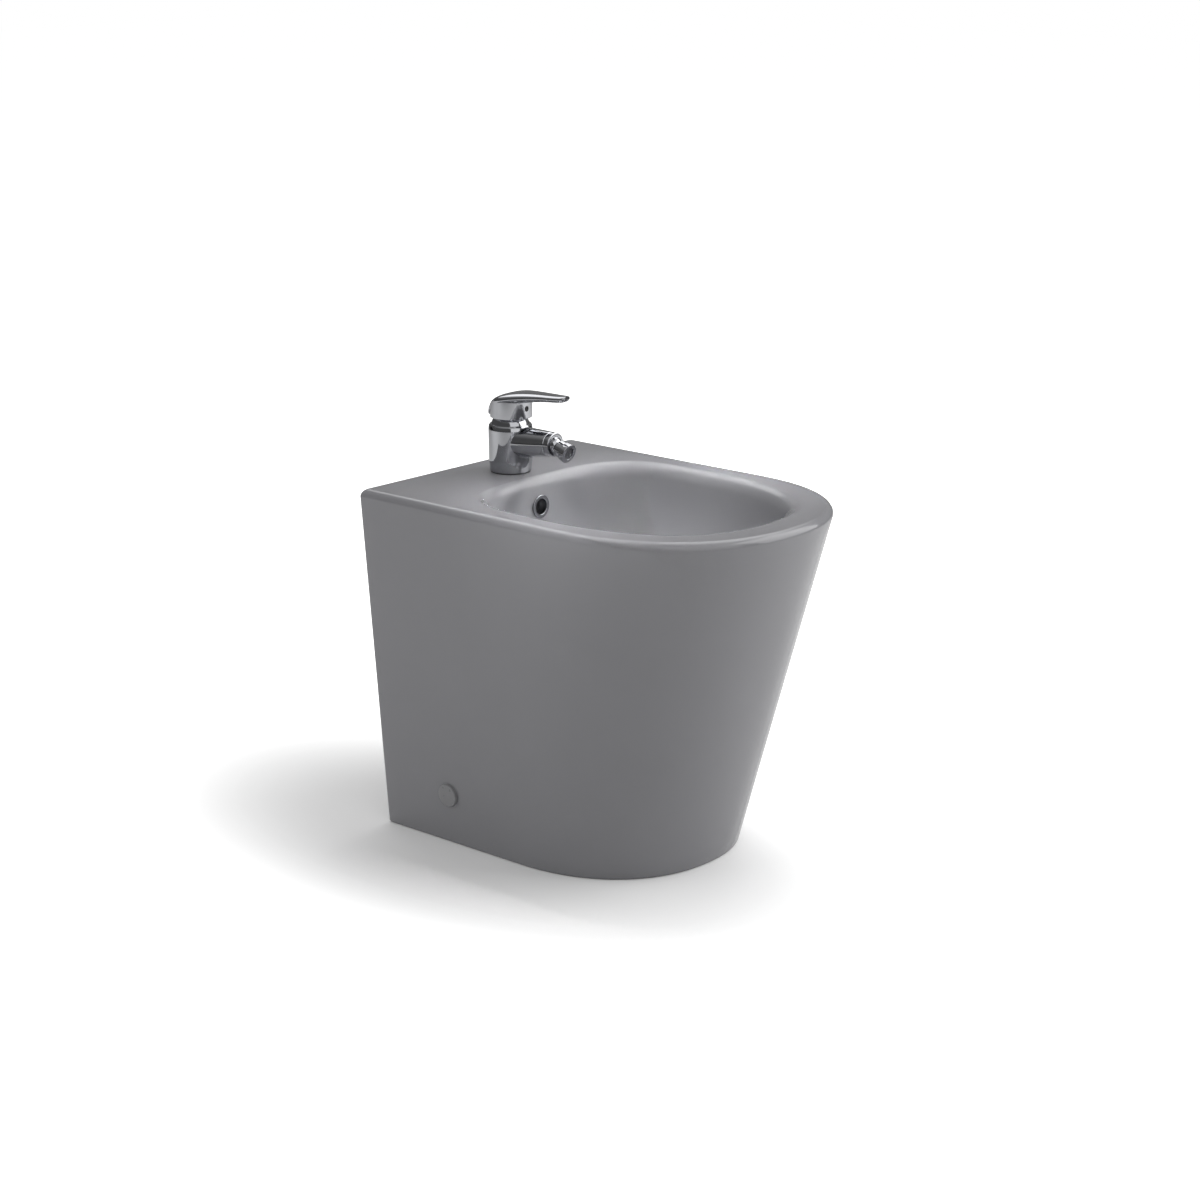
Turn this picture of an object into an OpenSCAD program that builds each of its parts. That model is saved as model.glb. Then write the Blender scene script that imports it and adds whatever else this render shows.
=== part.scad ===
// Floor-standing, back-to-wall bidet with a single-lever mixer tap, a press-to-close waste,
// a bottle trap and hidden floor brackets. Millimetres, +Z up. The origin is on the floor,
// in the middle of the footprint box; the wall is on the +Y side and the nose points to -Y.

/* [Ceramic body] */
// Greatest width, where the rim's rounding starts
body_w = 357; // [335:1:390]
// Greatest length, from the wall to the nose
body_l = 482; // [460:1:560]
// Height of the rim above the floor
body_h = 408; // [390:1:450]
// Width of the foot on the floor
base_w = 288; // [270:1:320]
// Length of the foot on the floor
base_l = 368; // [350:1:420]
// Thickness of the fired ceramic walls
wall_t = 11; // [9:0.5:13]
// Thickness of the deck and the rim slab
deck_t = 13; // [12:0.5:16]

/* [Bowl] */
// Width of the bowl's opening, where the flat rim ends
bowl_w = 301; // [270:1:305]
// Depth from the rim to the waste seat
bowl_depth = 150; // [130:1:165]
// Distance from the wall to the back edge of the opening
bowl_back = 106; // [104:1:125]
// Distance from the wall to the middle of the waste
drain_y = 225; // [215:1:240]

/* [Mixer tap] */
// Distance from the wall to the tap's axis
tap_y = 68; // [62:1:69]
// Radius of the tap's foot
tap_foot_r = 24; // [22:0.5:25]
// Reach of the spout, from the tap's axis to the spout's end face
spout_reach = 63; // [56:1:78]
// How far the nozzle points below the horizontal, as stored
nozzle_rest_tilt = 18; // [5:1:20]
// Length of the lever, from the tap's axis to the tip
lever_reach = 88; // [80:1:110]

/* [Waste and trap] */
// Radius of the waste's threaded tube
waste_tube_r = 20.9; // [20:0.1:22]
// Radius of the trap's pipes
pipe_r = 16; // [15:0.5:20]
// Height of the outlet pipe's axis above the floor
outlet_z = 126; // [122:1:126]

/* [Floor brackets] */
// Height of the side screws above the floor
side_screw_z = 60; // [50:1:80]
// Distance from the wall to the side screws
side_screw_y = 106; // [90:1:130]
// Radius of the caps that cover the side screws
side_cap_r = 13.5; // [11:0.5:16]

/* [Hidden] */
$fn = 48;
// One overrun serves every cut that has to break through a face
over = 1;
// Gap between pieces that touch, such as a nut and its seal
seat_gap = 0.3;
// Radial clearance of a turning or sliding fit
run_gap = 0.08;

// Ceramic outline: how far the curved nose reaches back at the rim and at the foot
rim_nose = 188;
base_nose = 158;
nose_power = 2.2;
back_corner_r = 5;
foot_round_r = 3;
edge_round_r = 9;
lip_round_r = 16;
lip_back_r = 8;
round_steps = 4;
nose_sides = 32;

// Bowl outline and section
bowl_mid = 240;
front_rim_w = 35;
bowl_back_power = 3.4;
bowl_front_power = 2.45;
section_back_power = 3.4;
section_front_power = 2.3;
bowl_steps = 12;
drain_seat_r = 34;
drain_bore_r = 22;
drain_boss_r = 37;
drain_boss_h = 30;

// Overflow hole and the duct behind the bowl
overflow_r = 11;
overflow_drop = 35;
duct_w = 28;
duct_depth = 9;
duct_wall = 5;
duct_top_drop = 23;
duct_fall = 4;
bowl_sides = 56;

// Openings in the back and sides of the pedestal
back_gap_w = 220;
back_gap_h = 255;
back_gap_corner_r = 30;
side_hole_r = 9;
tap_hole_r = 17.5;

// Overflow ring
ring_flange_r = 13.6;
ring_flange_t = 1.6;
ring_bore_r = 9.2;
ring_sleeve_l = 9;

// Tap body, heights above the deck
gasket_t = 1.5;
tap_top_z = 56.5;
tap_waist_r = 25.2;
tap_waist_z = 14;
tap_shoulder_r = 25.5;
tap_shoulder_z = 50.5;
tap_edge_r = 24.9;
tap_edge_z = 54.7;
tap_neck_r = 23.6;
tap_foot_chamfer = 1;
tap_hollow_r = 17;
tap_floor_z = 10;
cartridge_seat_z = 20;
cartridge_bore_r = 17.6;
nut_bore_r = 19.5;
nut_seat_z = 44;
inlet_r = 5;
inlet_x = 8;
inlet_back = 3;
stud_r = 4;
stud_front = 12;
spout_root_r = 19.8;
spout_end_r = 14.3;
spout_end_round = 1.4;
spout_taper_power = 1.15;
spout_top_z = 54.9;
spout_start = 12;
spout_round_share = 0.7;
spout_rings = 8;
spout_sides = 40;
water_way_r = 4.5;
water_way_z = 29;

// Ball joint at the spout's end
ball_r = 10;
ball_out = 4;
ball_seat_r = 11.6;
ball_seat_depth = 5;
ball_back_r = 8.4;
ball_back_depth = 4.5;
collar_r = 13.8;
collar_l = 7;
collar_edge = 1;
collar_sleeve_l = 1.6;
seal_l = 2.8;
nozzle_neck_r = 6.5;
nozzle_cone_at = 9.6;
nozzle_cone_r = 10.3;
nozzle_tip_r = 9.3;
nozzle_l = 22;
nozzle_bore_r = 5;
nozzle_socket_r = 7.6;
nozzle_socket_l = 6;
aerator_r = 11.5;
aerator_l = 7;
aerator_lip = 1.4;
aerator_edge = 0.8;
insert_r = 7.3;
insert_l = 7;
insert_hole_r = 0.9;
insert_pitch = 2.6;
washer_t = 1;

// Lever, heights above the deck. The pivot is the pin in the cartridge
pivot_z = 52;
skirt_bottom_z = 64.5;
lever_r = 24.4;
lever_ahead = 1.4;
dome_steps = 8;
dome_gap = 1.2;
boss_bottom_z = 66;
boss_r = 8;
hood_back_y = 21.7;
hood_back_z = 65.5;
hood_back_rise = 36.4;
hood_tip_z = 99;
hood_tip_drop = 2.7;
hood_tip_run = 59.3;
hood_w = 50;
hood_t = 13.5;
hood_sides = 20;
hood_power = 2.5;
cap_cover_t = 4.5;
hood_at_shares = [0, 0.03, 0.08, 0.15, 0.23, 0.32, 0.41, 0.5, 0.6, 0.7, 0.8, 0.88, 0.94, 0.98, 1];
hood_w_shares = [0.55, 0.69, 0.73, 0.75, 0.82, 0.94, 1, 0.94, 0.80, 0.65, 0.53, 0.46, 0.40, 0.31, 0.16];
hood_t_shares = [0.38, 0.56, 0.64, 0.72, 0.8, 0.93, 1, 1, 0.95, 0.84, 0.71, 0.63, 0.59, 0.5, 0.28];
grub_z = 76.3;
grub_r = 2.5;
grub_l = 8;
plug_r = 3.2;
plug_t = 1.2;
plug_hole_depth = 2.2;

// Cartridge
cartridge_r = 17.4;
cartridge_top_z = 46;
cartridge_neck_r = 11;
cartridge_neck_z = 50;
disc_chamber_r = 15.8;
disc_chamber_top_z = 37;
disc_t = 4;
fixed_disc_r = 15.5;
moving_disc_r = 9;
port_r = 2.6;
port_ring_r = 7;
carrier_t = 6;
carrier_slot_depth = 5;
rotor_r = 8.5;
rotor_bottom_z = 37.2;
rotor_top_z = 57;
rotor_flange_r = 10.4;
rotor_flange_t = 1.4;
spindle_w = 7;
spindle_top_z = 82;
spindle_slot_gap = 0.3;
rotor_slot_l = 15;
spindle_ball_r = 3;
spindle_ball_z = 32.8;
spindle_waist_r = 2.2;
spindle_waist_z = 46;
pin_r = 1.5;
pin_l = 15;
nut_t = 6;
nut_inner_r = 11.4;
nut_slot_w = 3;
cover_r = 22.4;
cover_t = 1.5;
cover_open_r = 15.2;
cover_sleeve_t = 1.7;
cover_sleeve_drop = 1.6;

// Fixings under the deck
stud_l = 66;
stud_grip = 6;
saddle_r = 24;
saddle_t = 3;
saddle_rubber_t = 3;
saddle_mouth_w = 30;
saddle_mouth_front = 3;
stud_nut_r = 7.5;
stud_nut_t = 6.5;

// Waste, heights below the seat unless named otherwise
waste_flange_r = 32;
waste_flange_t = 3;
waste_bore_r = 18.2;
waste_l = 82;
waste_seal_t = 1.5;
waste_seal_r = 30;
slot_w = 16;
slot_h = 10;
slot_drop = 16;
lower_seal_t = 5;
lower_seal_r = 31;
backnut_r = 31;
backnut_t = 10;
backnut_wing = 5;
backnut_wings = 6;
spider_t = 4;
spider_drop = 24;
spider_hub_r = 10;
spider_arm_w = 4;
spider_arms = 3;
click_r = 8.2;
click_head_r = 9.8;
click_head_t = 2;
click_l = 40;
click_bore_r = 6.6;
click_lip_t = 2.5;
click_floor_t = 2.5;
plug_stem_r = 3.5;
plug_piston_r = 6.3;
plug_piston_t = 2;
plug_travel = 9;
plug_cap_r = 29.5;
plug_cap_t = 4;
plug_cap_crown = 2.5;
plug_hub_r = 7;
plug_seal_r = 24.5;
plug_seal_t = 2;
spring_wire_r = 0.6;
spring_coil_r = 5.2;
spring_turns = 7;
spring_sides = 6;
spring_rings = 16;

// Bottle trap, heights above the floor
tail_flange_t = 2;
tail_flange_r = 19.6;
pipe_t = 1.8;
tail_bottom_z = 74;
tail_washer_t = 2;
trap_nut_r = 26;
trap_nut_lip = 3;
trap_nut_grip = 14;
trap_nut_ribs = 12;
trap_rib_r = 1.4;
bottle_r = 33;
bottle_t = 3;
bottle_top_drop = 15.5;
bottle_bottom_z = 86;
bottle_neck_r = 22;
bottle_neck_l = 13;
bottle_roof_t = 4;
cup_r = 36.5;
cup_t = 3;
cup_bottom_z = 62;
cup_top_z = 100;
cup_grip_ribs = 16;
cup_seal_t = 3;
outlet_neck_l = 20;
pipe_nut_l = 18;
pipe_seal_l = 4;
outlet_wall_gap = 2;
spigot_l = 40;
bead_t = 2;
bead_h = 1.4;

// Side fixings: everything is set out along the normal of the leaning side wall
sleeve_wall_gap = 0.2;
sleeve_head_r = 6.8;
sleeve_head_depth = 6.5;
sleeve_out = 1;
side_screw_r = 3;
side_screw_gap = 0.3;
side_screw_l = 34;
side_head_r = 5.8;
side_head_t = 3.5;
hex_key_r = 2.3;
hex_key_depth = 2;
cap_t = 3.6;
cap_edge = 1;
cap_stub_l = 1.6;
cap_stub_wall = 1.4;
lug_t = 20;
lug_w = 32;
lug_top_over = 14;
bracket_t = 5;
bracket_l = 62;
bracket_w = 46;
bracket_hole_r = 4.5;
bracket_hole_in = 32;
bracket_top_over = 12;
gusset_t = 6;

ceramic_grey = [0.55, 0.55, 0.57];
chrome = [0.78, 0.79, 0.81];
brass = [0.72, 0.58, 0.30];
white_plastic = [0.90, 0.90, 0.88];
black_rubber = [0.12, 0.12, 0.13];
steel = [0.62, 0.63, 0.65];
grey_nylon = [0.45, 0.46, 0.48];

// Derived places
wall_y = body_l / 2;
tap_at = [0, wall_y - tap_y, body_h];
seat_z = body_h - bowl_depth;
drain_at = [0, wall_y - drain_y, seat_z];
overflow_z = body_h - overflow_drop;
lean = atan((body_w - base_w) / 2 / (body_h - edge_round_r));
side_x = base_w / 2 + side_screw_z * tan(lean);
spout_end_z = spout_top_z - spout_end_r;
ball_at = [0, -spout_reach - ball_out, spout_end_z];
plug_out = lever_r + lever_ahead - spindle_w / 2;

flange_top = waste_seal_t + waste_flange_t;
plug_low = flange_top + seat_gap + plug_seal_t;
plug_rest = plug_low + plug_travel;
click_top = click_head_t - spider_drop;
click_bottom = click_top - click_l;
piston_top = click_top - click_lip_t - seat_gap;
waste_bottom_z = seat_z + flange_top - waste_l;
bottle_top_z = waste_bottom_z - bottle_top_drop;
tail_flange_z = waste_bottom_z - tail_washer_t - seat_gap * 2 - tail_flange_t;
thread_gap = run_gap;
neck_end_y = bottle_r + outlet_neck_l;

// A point of a rounded box outline, with the points spread evenly round it
function power_point(angle, half_x, half_y, power) =
    let (k = pow(pow(abs(cos(angle)), power) + pow(abs(sin(angle)), power), 1 / power))
    [half_x * cos(angle) / k, half_y * sin(angle) / k];
function share_of(low, high, share) = low + (high - low) * share;

// Outline of the body at a height, drawn in by an inset
function body_ring(z, inset) =
    let (
        share = min(1, z / (body_h - edge_round_r)),
        half_w = share_of(base_w, body_w, share) / 2 - inset,
        nose = share_of(base_nose, rim_nose, share) - inset,
        nose_y = wall_y - share_of(base_l, body_l, share) + nose + inset,
        corner_x = half_w - back_corner_r,
        corner_y = wall_y - inset - back_corner_r
    )
    [
        for (i = [0:nose_sides])
            let (p = power_point(180 + 180 * i / nose_sides, half_w, nose, nose_power))
            [p.x, nose_y + p.y, z],
        for (i = [0:round_steps])
            let (a = 90 * i / round_steps)
            [corner_x + back_corner_r * cos(a), corner_y + back_corner_r * sin(a), z],
        for (i = [0:round_steps])
            let (a = 90 + 90 * i / round_steps)
            [-corner_x + back_corner_r * cos(a), corner_y + back_corner_r * sin(a), z]
    ];

// One point of the bowl's plan, drawn in from the opening by an inset on the sides and the back
function bowl_point(a, inset, back_inset) =
    let (
        mid_y = wall_y - bowl_mid,
        back = bowl_mid - bowl_back - back_inset,
        front = body_l - front_rim_w - bowl_mid - inset,
        power = a < 180 ? bowl_back_power : bowl_front_power,
        p = power_point(a, bowl_w / 2 - inset, a < 180 ? back : front, power)
    )
    [p.x, mid_y + p.y];

// A ring of the bowl between the end of its lip and the flat seat of the waste
function bowl_section(turn, grow) =
    [
        for (i = [0:bowl_sides - 1])
            let (
                a = 360 * i / bowl_sides,
                top = bowl_point(a, lip_round_r - grow, lip_back_r - grow),
                low = [drain_at.x, drain_at.y] + (drain_seat_r + grow) * [cos(a), sin(a)],
                power = share_of(section_front_power, section_back_power, (1 + sin(a)) / 2),
                p = power_point(turn, 1, bowl_depth - lip_round_r + grow, power)
            )
            [share_of(low.x, top.x, p.x), share_of(low.y, top.y, p.x), body_h - lip_round_r - p.y]
    ];

function bowl_rim(turn, z) =
    [
        for (i = [0:bowl_sides - 1])
            let (p = bowl_point(360 * i / bowl_sides, lip_round_r * sin(turn), lip_back_r * sin(turn)))
            [p.x, p.y, z - lip_round_r * (1 - cos(turn))]
    ];

// Skins rings of points, each turned anticlockwise seen from above, from the lowest to the highest
module loft(rings) {
    n = len(rings[0]);
    top = n * (len(rings) - 1);
    polyhedron(
        points = [for (ring = rings) each ring],
        faces = [
            [for (i = [0:n - 1]) i],
            for (k = [0:n:top - n])
                for (i = [0:n - 1])
                    let (j = (i + 1) % n)
                    each [[k + i, k + n + i, k + n + j], [k + i, k + n + j, k + j]],
            [for (i = [n - 1:-1:0]) top + i]
        ],
        convexity = 6
    );
}

module turned(outline) {
    rotate_extrude() polygon(outline);
}

// A plain ring from the height low to the height high
module ring(outer_r, inner_r, low, high) {
    turned([[inner_r, low], [outer_r, low], [outer_r, high], [inner_r, high]]);
}

module rod(r, low, high) {
    translate([0, 0, low]) cylinder(r = r, h = high - low);
}

module at_tap() {
    translate(tap_at) children();
}

module at_drain() {
    translate(drain_at) children();
}

// The spout's end: +Z runs out of it, +Y points up
module at_spout_end() {
    at_tap() translate([0, -spout_reach, spout_end_z]) rotate([90, 0, 0]) children();
}

// The ball's centre, with +Z along the tilted nozzle
module at_nozzle() {
    at_tap() translate(ball_at) rotate([90 + nozzle_rest_tilt, 0, 0]) children();
}

// The middle of a side screw's hole on the outer wall, with +Z square to the wall and outwards
module at_side(side) {
    translate([side * side_x, wall_y - side_screw_y, side_screw_z])
        rotate([0, side * (90 + lean), 0]) children();
}

// The hollow from the floor up to the underside of the deck
module pedestal_space() {
    loft([body_ring(-over, wall_t), body_ring(body_h - deck_t, wall_t)]);
}

module outer_body() {
    loft([
        for (i = [0:round_steps])
            let (a = 90 * i / round_steps)
            body_ring(foot_round_r * (1 - cos(a)), foot_round_r * (1 - sin(a))),
        for (i = [0:round_steps])
            let (a = 90 * i / round_steps)
            body_ring(body_h - edge_round_r * (1 - sin(a)), edge_round_r * (1 - cos(a)))
    ]);
}

module bowl_hollow() {
    loft([
        for (i = [bowl_steps:-1:0]) bowl_section(90 * i / bowl_steps, 0),
        for (i = [round_steps - 1:-1:0]) bowl_rim(90 * i / round_steps, body_h),
        bowl_rim(0, body_h + over)
    ]);
}

// The outside of the bowl, one wall thicker than its hollow
module bowl_shell() {
    loft([
        for (i = [bowl_steps:-1:0]) bowl_section(90 * i / bowl_steps, wall_t),
        [for (p = bowl_section(0, wall_t)) [p.x, p.y, body_h - edge_round_r]]
    ]);
}

// Overflow duct seen from the side: down behind the bowl, then forward to the waste
module duct(grow) {
    back = bowl_back + lip_back_r - duct_wall - duct_depth - grow;
    front = back + duct_depth + 2 * grow;
    high = seat_z - slot_drop + slot_h / 2 + grow;
    low = seat_z - slot_drop - slot_h / 2 - grow;
    top = body_h - duct_top_drop + grow;
    rotate([90, 0, 90])
        translate([wall_y, 0, 0])
            linear_extrude(duct_w + 2 * grow, center = true)
                polygon([
                    [-back, top], [-front, top], [-front, high + duct_fall],
                    [-drain_y, high], [-drain_y, low], [-back, low + duct_fall]
                ]);
}

// Thickened wall round a side screw's hole, down to the floor
module side_lug(side) {
    at_side(side)
        translate([-side_screw_z * 2, -lug_w / 2, -lug_t])
            cube([side_screw_z * 2 + lug_top_over, lug_w, lug_t]);
}

// Opening in the back for the pipes, with round upper corners
module back_opening() {
    reach = back_gap_w / 2 - back_gap_corner_r;
    translate([0, wall_y + over, 0]) rotate([90, 0, 0])
        linear_extrude(wall_t + 2 * over) {
            translate([-back_gap_w / 2, -over]) square([back_gap_w, back_gap_h - back_gap_corner_r + over]);
            translate([-reach, -over]) square([2 * reach, back_gap_h + over]);
            for (side = [-1, 1])
                translate([side * reach, back_gap_h - back_gap_corner_r]) circle(back_gap_corner_r);
        }
}

module ceramic_body() {
    color(ceramic_grey) difference() {
        outer_body();
        bowl_hollow();
        difference() {
            pedestal_space();
            bowl_shell();
            at_drain() rod(drain_boss_r, -drain_boss_h, 0);
            duct(duct_wall);
            for (side = [-1, 1]) side_lug(side);
        }
        duct(0);
        back_opening();
        at_drain() rod(drain_bore_r, -drain_boss_h - over, over);
        at_tap() rod(tap_hole_r, -deck_t - over, over);
        translate([0, wall_y - bowl_back - lip_back_r, overflow_z])
            rotate([-90, 0, 0]) rod(overflow_r, -over, duct_wall + over);
        for (side = [-1, 1]) at_side(side) rod(side_hole_r, -lug_t - over, over);
    }
}

module overflow_ring() {
    color(chrome)
        translate([0, wall_y - bowl_back - lip_back_r - seat_gap, overflow_z])
            rotate([90, 0, 0]) turned([
                [ring_bore_r, -ring_sleeve_l], [overflow_r - seat_gap, -ring_sleeve_l],
                [overflow_r - seat_gap, 0], [ring_flange_r, 0],
                [ring_flange_r, ring_flange_t / 2], [ring_flange_r - ring_flange_t / 2, ring_flange_t],
                [ring_bore_r + ring_flange_t / 2, ring_flange_t], [ring_bore_r, ring_flange_t / 2]
            ]);
}

// A ring of the spout at a share of its reach, with its top held level
function spout_ring(share, draw_in) =
    let (r = share_of(spout_root_r, spout_end_r, pow(share, spout_taper_power)))
    [
        for (i = [0:spout_sides - 1])
            let (a = 360 * i / spout_sides)
            [
                (r - draw_in) * cos(a),
                spout_top_z - r + (r - draw_in) * sin(a),
                spout_reach * share
            ]
    ];

module spout() {
    first = spout_start / spout_reach;
    last = 1 - spout_end_round / spout_reach;
    rotate([90, 0, 0]) loft([
        for (i = [0:spout_rings]) spout_ring(share_of(first, last, i / spout_rings), 0),
        spout_ring(share_of(last, 1, spout_round_share), spout_end_round * (1 - spout_round_share)),
        spout_ring(1, spout_end_round)
    ]);
}

module mixer_body() {
    color(chrome) difference() {
        at_tap() {
            turned([
                [0, gasket_t], [tap_foot_r - tap_foot_chamfer, gasket_t],
                [tap_foot_r, gasket_t + tap_foot_chamfer], [tap_waist_r, tap_waist_z],
                [tap_shoulder_r, tap_shoulder_z], [tap_edge_r, tap_edge_z],
                [tap_neck_r, tap_top_z], [0, tap_top_z]
            ]);
            spout();
        }
        at_tap() {
            rod(tap_hollow_r, 0, tap_floor_z);
            rod(cartridge_bore_r, cartridge_seat_z, nut_seat_z + over);
            rod(nut_bore_r, nut_seat_z, tap_top_z + over);
            for (side = [-1, 1])
                translate([side * inlet_x, inlet_back, 0]) rod(inlet_r, 0, cartridge_seat_z + over);
            translate([0, -stud_front, 0]) rod(stud_r, 0, tap_floor_z + stud_grip);
        }
        at_spout_end() {
            rod(ball_seat_r, -ball_seat_depth, over);
            rod(ball_back_r, -ball_seat_depth - ball_back_depth, over);
        }
        water_way();
    }
}

// Water way from the cartridge's chamber to the ball joint
module water_way() {
    run = spout_reach - ball_seat_depth - ball_back_depth / 2 - cartridge_bore_r + 2 * over;
    rise = spout_end_z - water_way_z;
    at_tap() translate([0, -cartridge_bore_r + 2 * over, water_way_z])
        rotate([90 - atan(rise / run), 0, 0]) rod(water_way_r, 0, norm([run, rise]));
}

module base_gasket() {
    color(black_rubber) at_tap() ring(tap_foot_r - tap_foot_chamfer, tap_hole_r, 0, gasket_t);
}

module cartridge_housing() {
    color(white_plastic) at_tap() turned([
        [disc_chamber_r, cartridge_seat_z], [cartridge_r, cartridge_seat_z],
        [cartridge_r, cartridge_top_z], [cartridge_neck_r, cartridge_top_z],
        [cartridge_neck_r, cartridge_neck_z], [rotor_r + run_gap, cartridge_neck_z],
        [rotor_r + run_gap, rotor_bottom_z + rotor_flange_t + seat_gap],
        [rotor_flange_r + seat_gap, rotor_bottom_z + rotor_flange_t + seat_gap],
        [rotor_flange_r + seat_gap, disc_chamber_top_z], [disc_chamber_r, disc_chamber_top_z]
    ]);
}

module disc_ports(low, high) {
    for (a = [90:120:359])
        translate([port_ring_r * cos(a), port_ring_r * sin(a), 0]) rod(port_r, low, high);
}

module fixed_disc() {
    low = cartridge_seat_z;
    color(white_plastic) at_tap() difference() {
        rod(fixed_disc_r, low, low + disc_t);
        disc_ports(low - over, low + disc_t + over);
    }
}

// Sliding ceramic disc with its carrier, which the spindle's ball pushes
module moving_disc() {
    low = cartridge_seat_z + disc_t + run_gap;
    top = low + disc_t + carrier_t;
    color(white_plastic) at_tap() difference() {
        rod(moving_disc_r, low, top);
        rod(spindle_ball_r + run_gap, top - carrier_slot_depth, top + over);
        rod(port_r, low - over, low + disc_t / 2);
    }
}

module cartridge_rotor() {
    color(grey_nylon) at_tap() difference() {
        union() {
            rod(rotor_r, rotor_bottom_z, rotor_top_z);
            rod(rotor_flange_r, rotor_bottom_z, rotor_bottom_z + rotor_flange_t);
        }
        translate([-spindle_w / 2 - spindle_slot_gap, -rotor_slot_l / 2, rotor_bottom_z - over])
            cube([spindle_w + 2 * spindle_slot_gap, rotor_slot_l, rotor_top_z - rotor_bottom_z + 2 * over]);
        translate([0, 0, pivot_z]) rotate([0, 90, 0]) cylinder(r = pin_r, h = pin_l, center = true);
    }
}

module pivot_pin() {
    color(steel) at_tap() translate([0, 0, pivot_z])
        rotate([0, 90, 0]) cylinder(r = pin_r, h = pin_l, center = true);
}

module spindle() {
    color(steel) at_tap() difference() {
        union() {
            translate([-spindle_w / 2, -spindle_w / 2, spindle_waist_z])
                cube([spindle_w, spindle_w, spindle_top_z - spindle_waist_z]);
            rod(spindle_waist_r, spindle_ball_z, spindle_waist_z);
            translate([0, 0, spindle_ball_z]) sphere(spindle_ball_r);
        }
        translate([0, 0, pivot_z]) rotate([0, 90, 0])
            cylinder(r = pin_r + run_gap, h = spindle_w + 2 * over, center = true);
    }
}

module cartridge_nut() {
    low = cartridge_top_z;
    color(brass) at_tap() difference() {
        ring(nut_bore_r - run_gap, nut_inner_r, low, low + nut_t);
        for (a = [45, 135])
            rotate([0, 0, a]) translate([-nut_bore_r, -nut_slot_w / 2, low + nut_t / 2])
                cube([2 * nut_bore_r, nut_slot_w, nut_t]);
    }
}

// Ball-shaped cover round the lever's pivot, with a sleeve in the top of the body
module dome_cover() {
    inner_r = cover_r - cover_t;
    sleeve_r = nut_bore_r - run_gap;
    low_a = asin((tap_top_z - pivot_z) / cover_r);
    high_a = acos(cover_open_r / cover_r);
    inner_a = asin((tap_top_z + cover_t - pivot_z) / inner_r);
    color(chrome) at_tap() turned([
        for (i = [0:dome_steps])
            let (a = share_of(low_a, high_a, i / dome_steps))
            [cover_r * cos(a), pivot_z + cover_r * sin(a)],
        for (i = [0:dome_steps])
            let (a = share_of(high_a, inner_a, i / dome_steps))
            [inner_r * cos(a), pivot_z + inner_r * sin(a)],
        [sleeve_r - cover_sleeve_t, tap_top_z + cover_t],
        [sleeve_r - cover_sleeve_t, tap_top_z - cover_sleeve_drop],
        [sleeve_r, tap_top_z - cover_sleeve_drop], [sleeve_r, tap_top_z]
    ]);
}

// Side view of the lever's hood: its top line from the back of the cap to the tip
function hood_point(t) =
    let (
        u = 1 - t,
        weights = [u * u * u, 3 * u * u * t, 3 * u * t * t, t * t * t],
        ys = [hood_back_y, hood_back_y, hood_tip_run - lever_reach, -lever_reach],
        zs = [hood_back_z, hood_back_z + hood_back_rise, hood_tip_z - hood_tip_drop, hood_tip_z]
    )
    [weights * ys, weights * zs];

function hood_inward(t) =
    let (
        step = 0.01,
        d = hood_point(min(1, t + step)) - hood_point(max(0, t - step))
    )
    [-d.y, d.x] / norm(d);

// A rounded section across the hood, whose top lies on the top line
function hood_ring(i) =
    let (
        t = hood_at_shares[i],
        half_w = hood_w * hood_w_shares[i] / 2,
        half_t = hood_t * hood_t_shares[i] / 2,
        inward = hood_inward(t),
        middle = hood_point(t) + inward * half_t
    )
    [
        for (k = [0:hood_sides - 1])
            let (
                a = 360 * k / hood_sides,
                section = power_point(a, half_w, half_t, hood_power),
                p = middle - inward * section.y
            )
            [section.x, p.x, p.y]
    ];

// Cap under the hood: a cylinder cut along the hood's line
module lever_cap() {
    top = [
        for (i = [0:len(hood_at_shares) - 1])
            let (t = hood_at_shares[i])
            hood_point(t) + hood_inward(t) * cap_cover_t
    ];
    intersection() {
        translate([0, -lever_ahead, 0]) rod(lever_r, skirt_bottom_z, hood_tip_z - hood_tip_drop);
        rotate([90, 0, 90]) linear_extrude(hood_w, center = true)
            polygon([
                each top,
                [-lever_reach, skirt_bottom_z - over], [hood_back_y, skirt_bottom_z - over]
            ]);
    }
}

module lever_handle() {
    color(chrome) at_tap() difference() {
        union() {
            lever_cap();
            loft([for (i = [0:len(hood_at_shares) - 1]) hood_ring(i)]);
            rod(boss_r, boss_bottom_z, grub_z + boss_r / 2);
        }
        difference() {
            translate([0, 0, pivot_z]) sphere(cover_r + dome_gap);
            rod(boss_r, boss_bottom_z, grub_z + boss_r);
        }
        translate([-spindle_w / 2 - run_gap, -spindle_w / 2 - run_gap, boss_bottom_z - over])
            cube([
                spindle_w + 2 * run_gap, spindle_w + 2 * run_gap,
                spindle_top_z + seat_gap - boss_bottom_z + over
            ]);
        at_grub() {
            rod(grub_r, 0, lever_r + over);
            rod(plug_r + run_gap, plug_out - plug_hole_depth, lever_r + over);
        }
    }
}

// The grub screw's line, from the spindle's flat out through the front of the cap
module at_grub() {
    translate([0, -spindle_w / 2, grub_z]) rotate([90, 0, 0]) children();
}

module lever_screw() {
    color(steel) at_tap() at_grub() difference() {
        rod(grub_r - run_gap, 0, grub_l);
        rod(grub_r / 2, grub_l - grub_r, grub_l + over);
    }
}

module indicator_plug() {
    low = plug_out - plug_hole_depth;
    color(black_rubber) at_tap() at_grub() rod(plug_r, low, low + plug_t);
}

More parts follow.
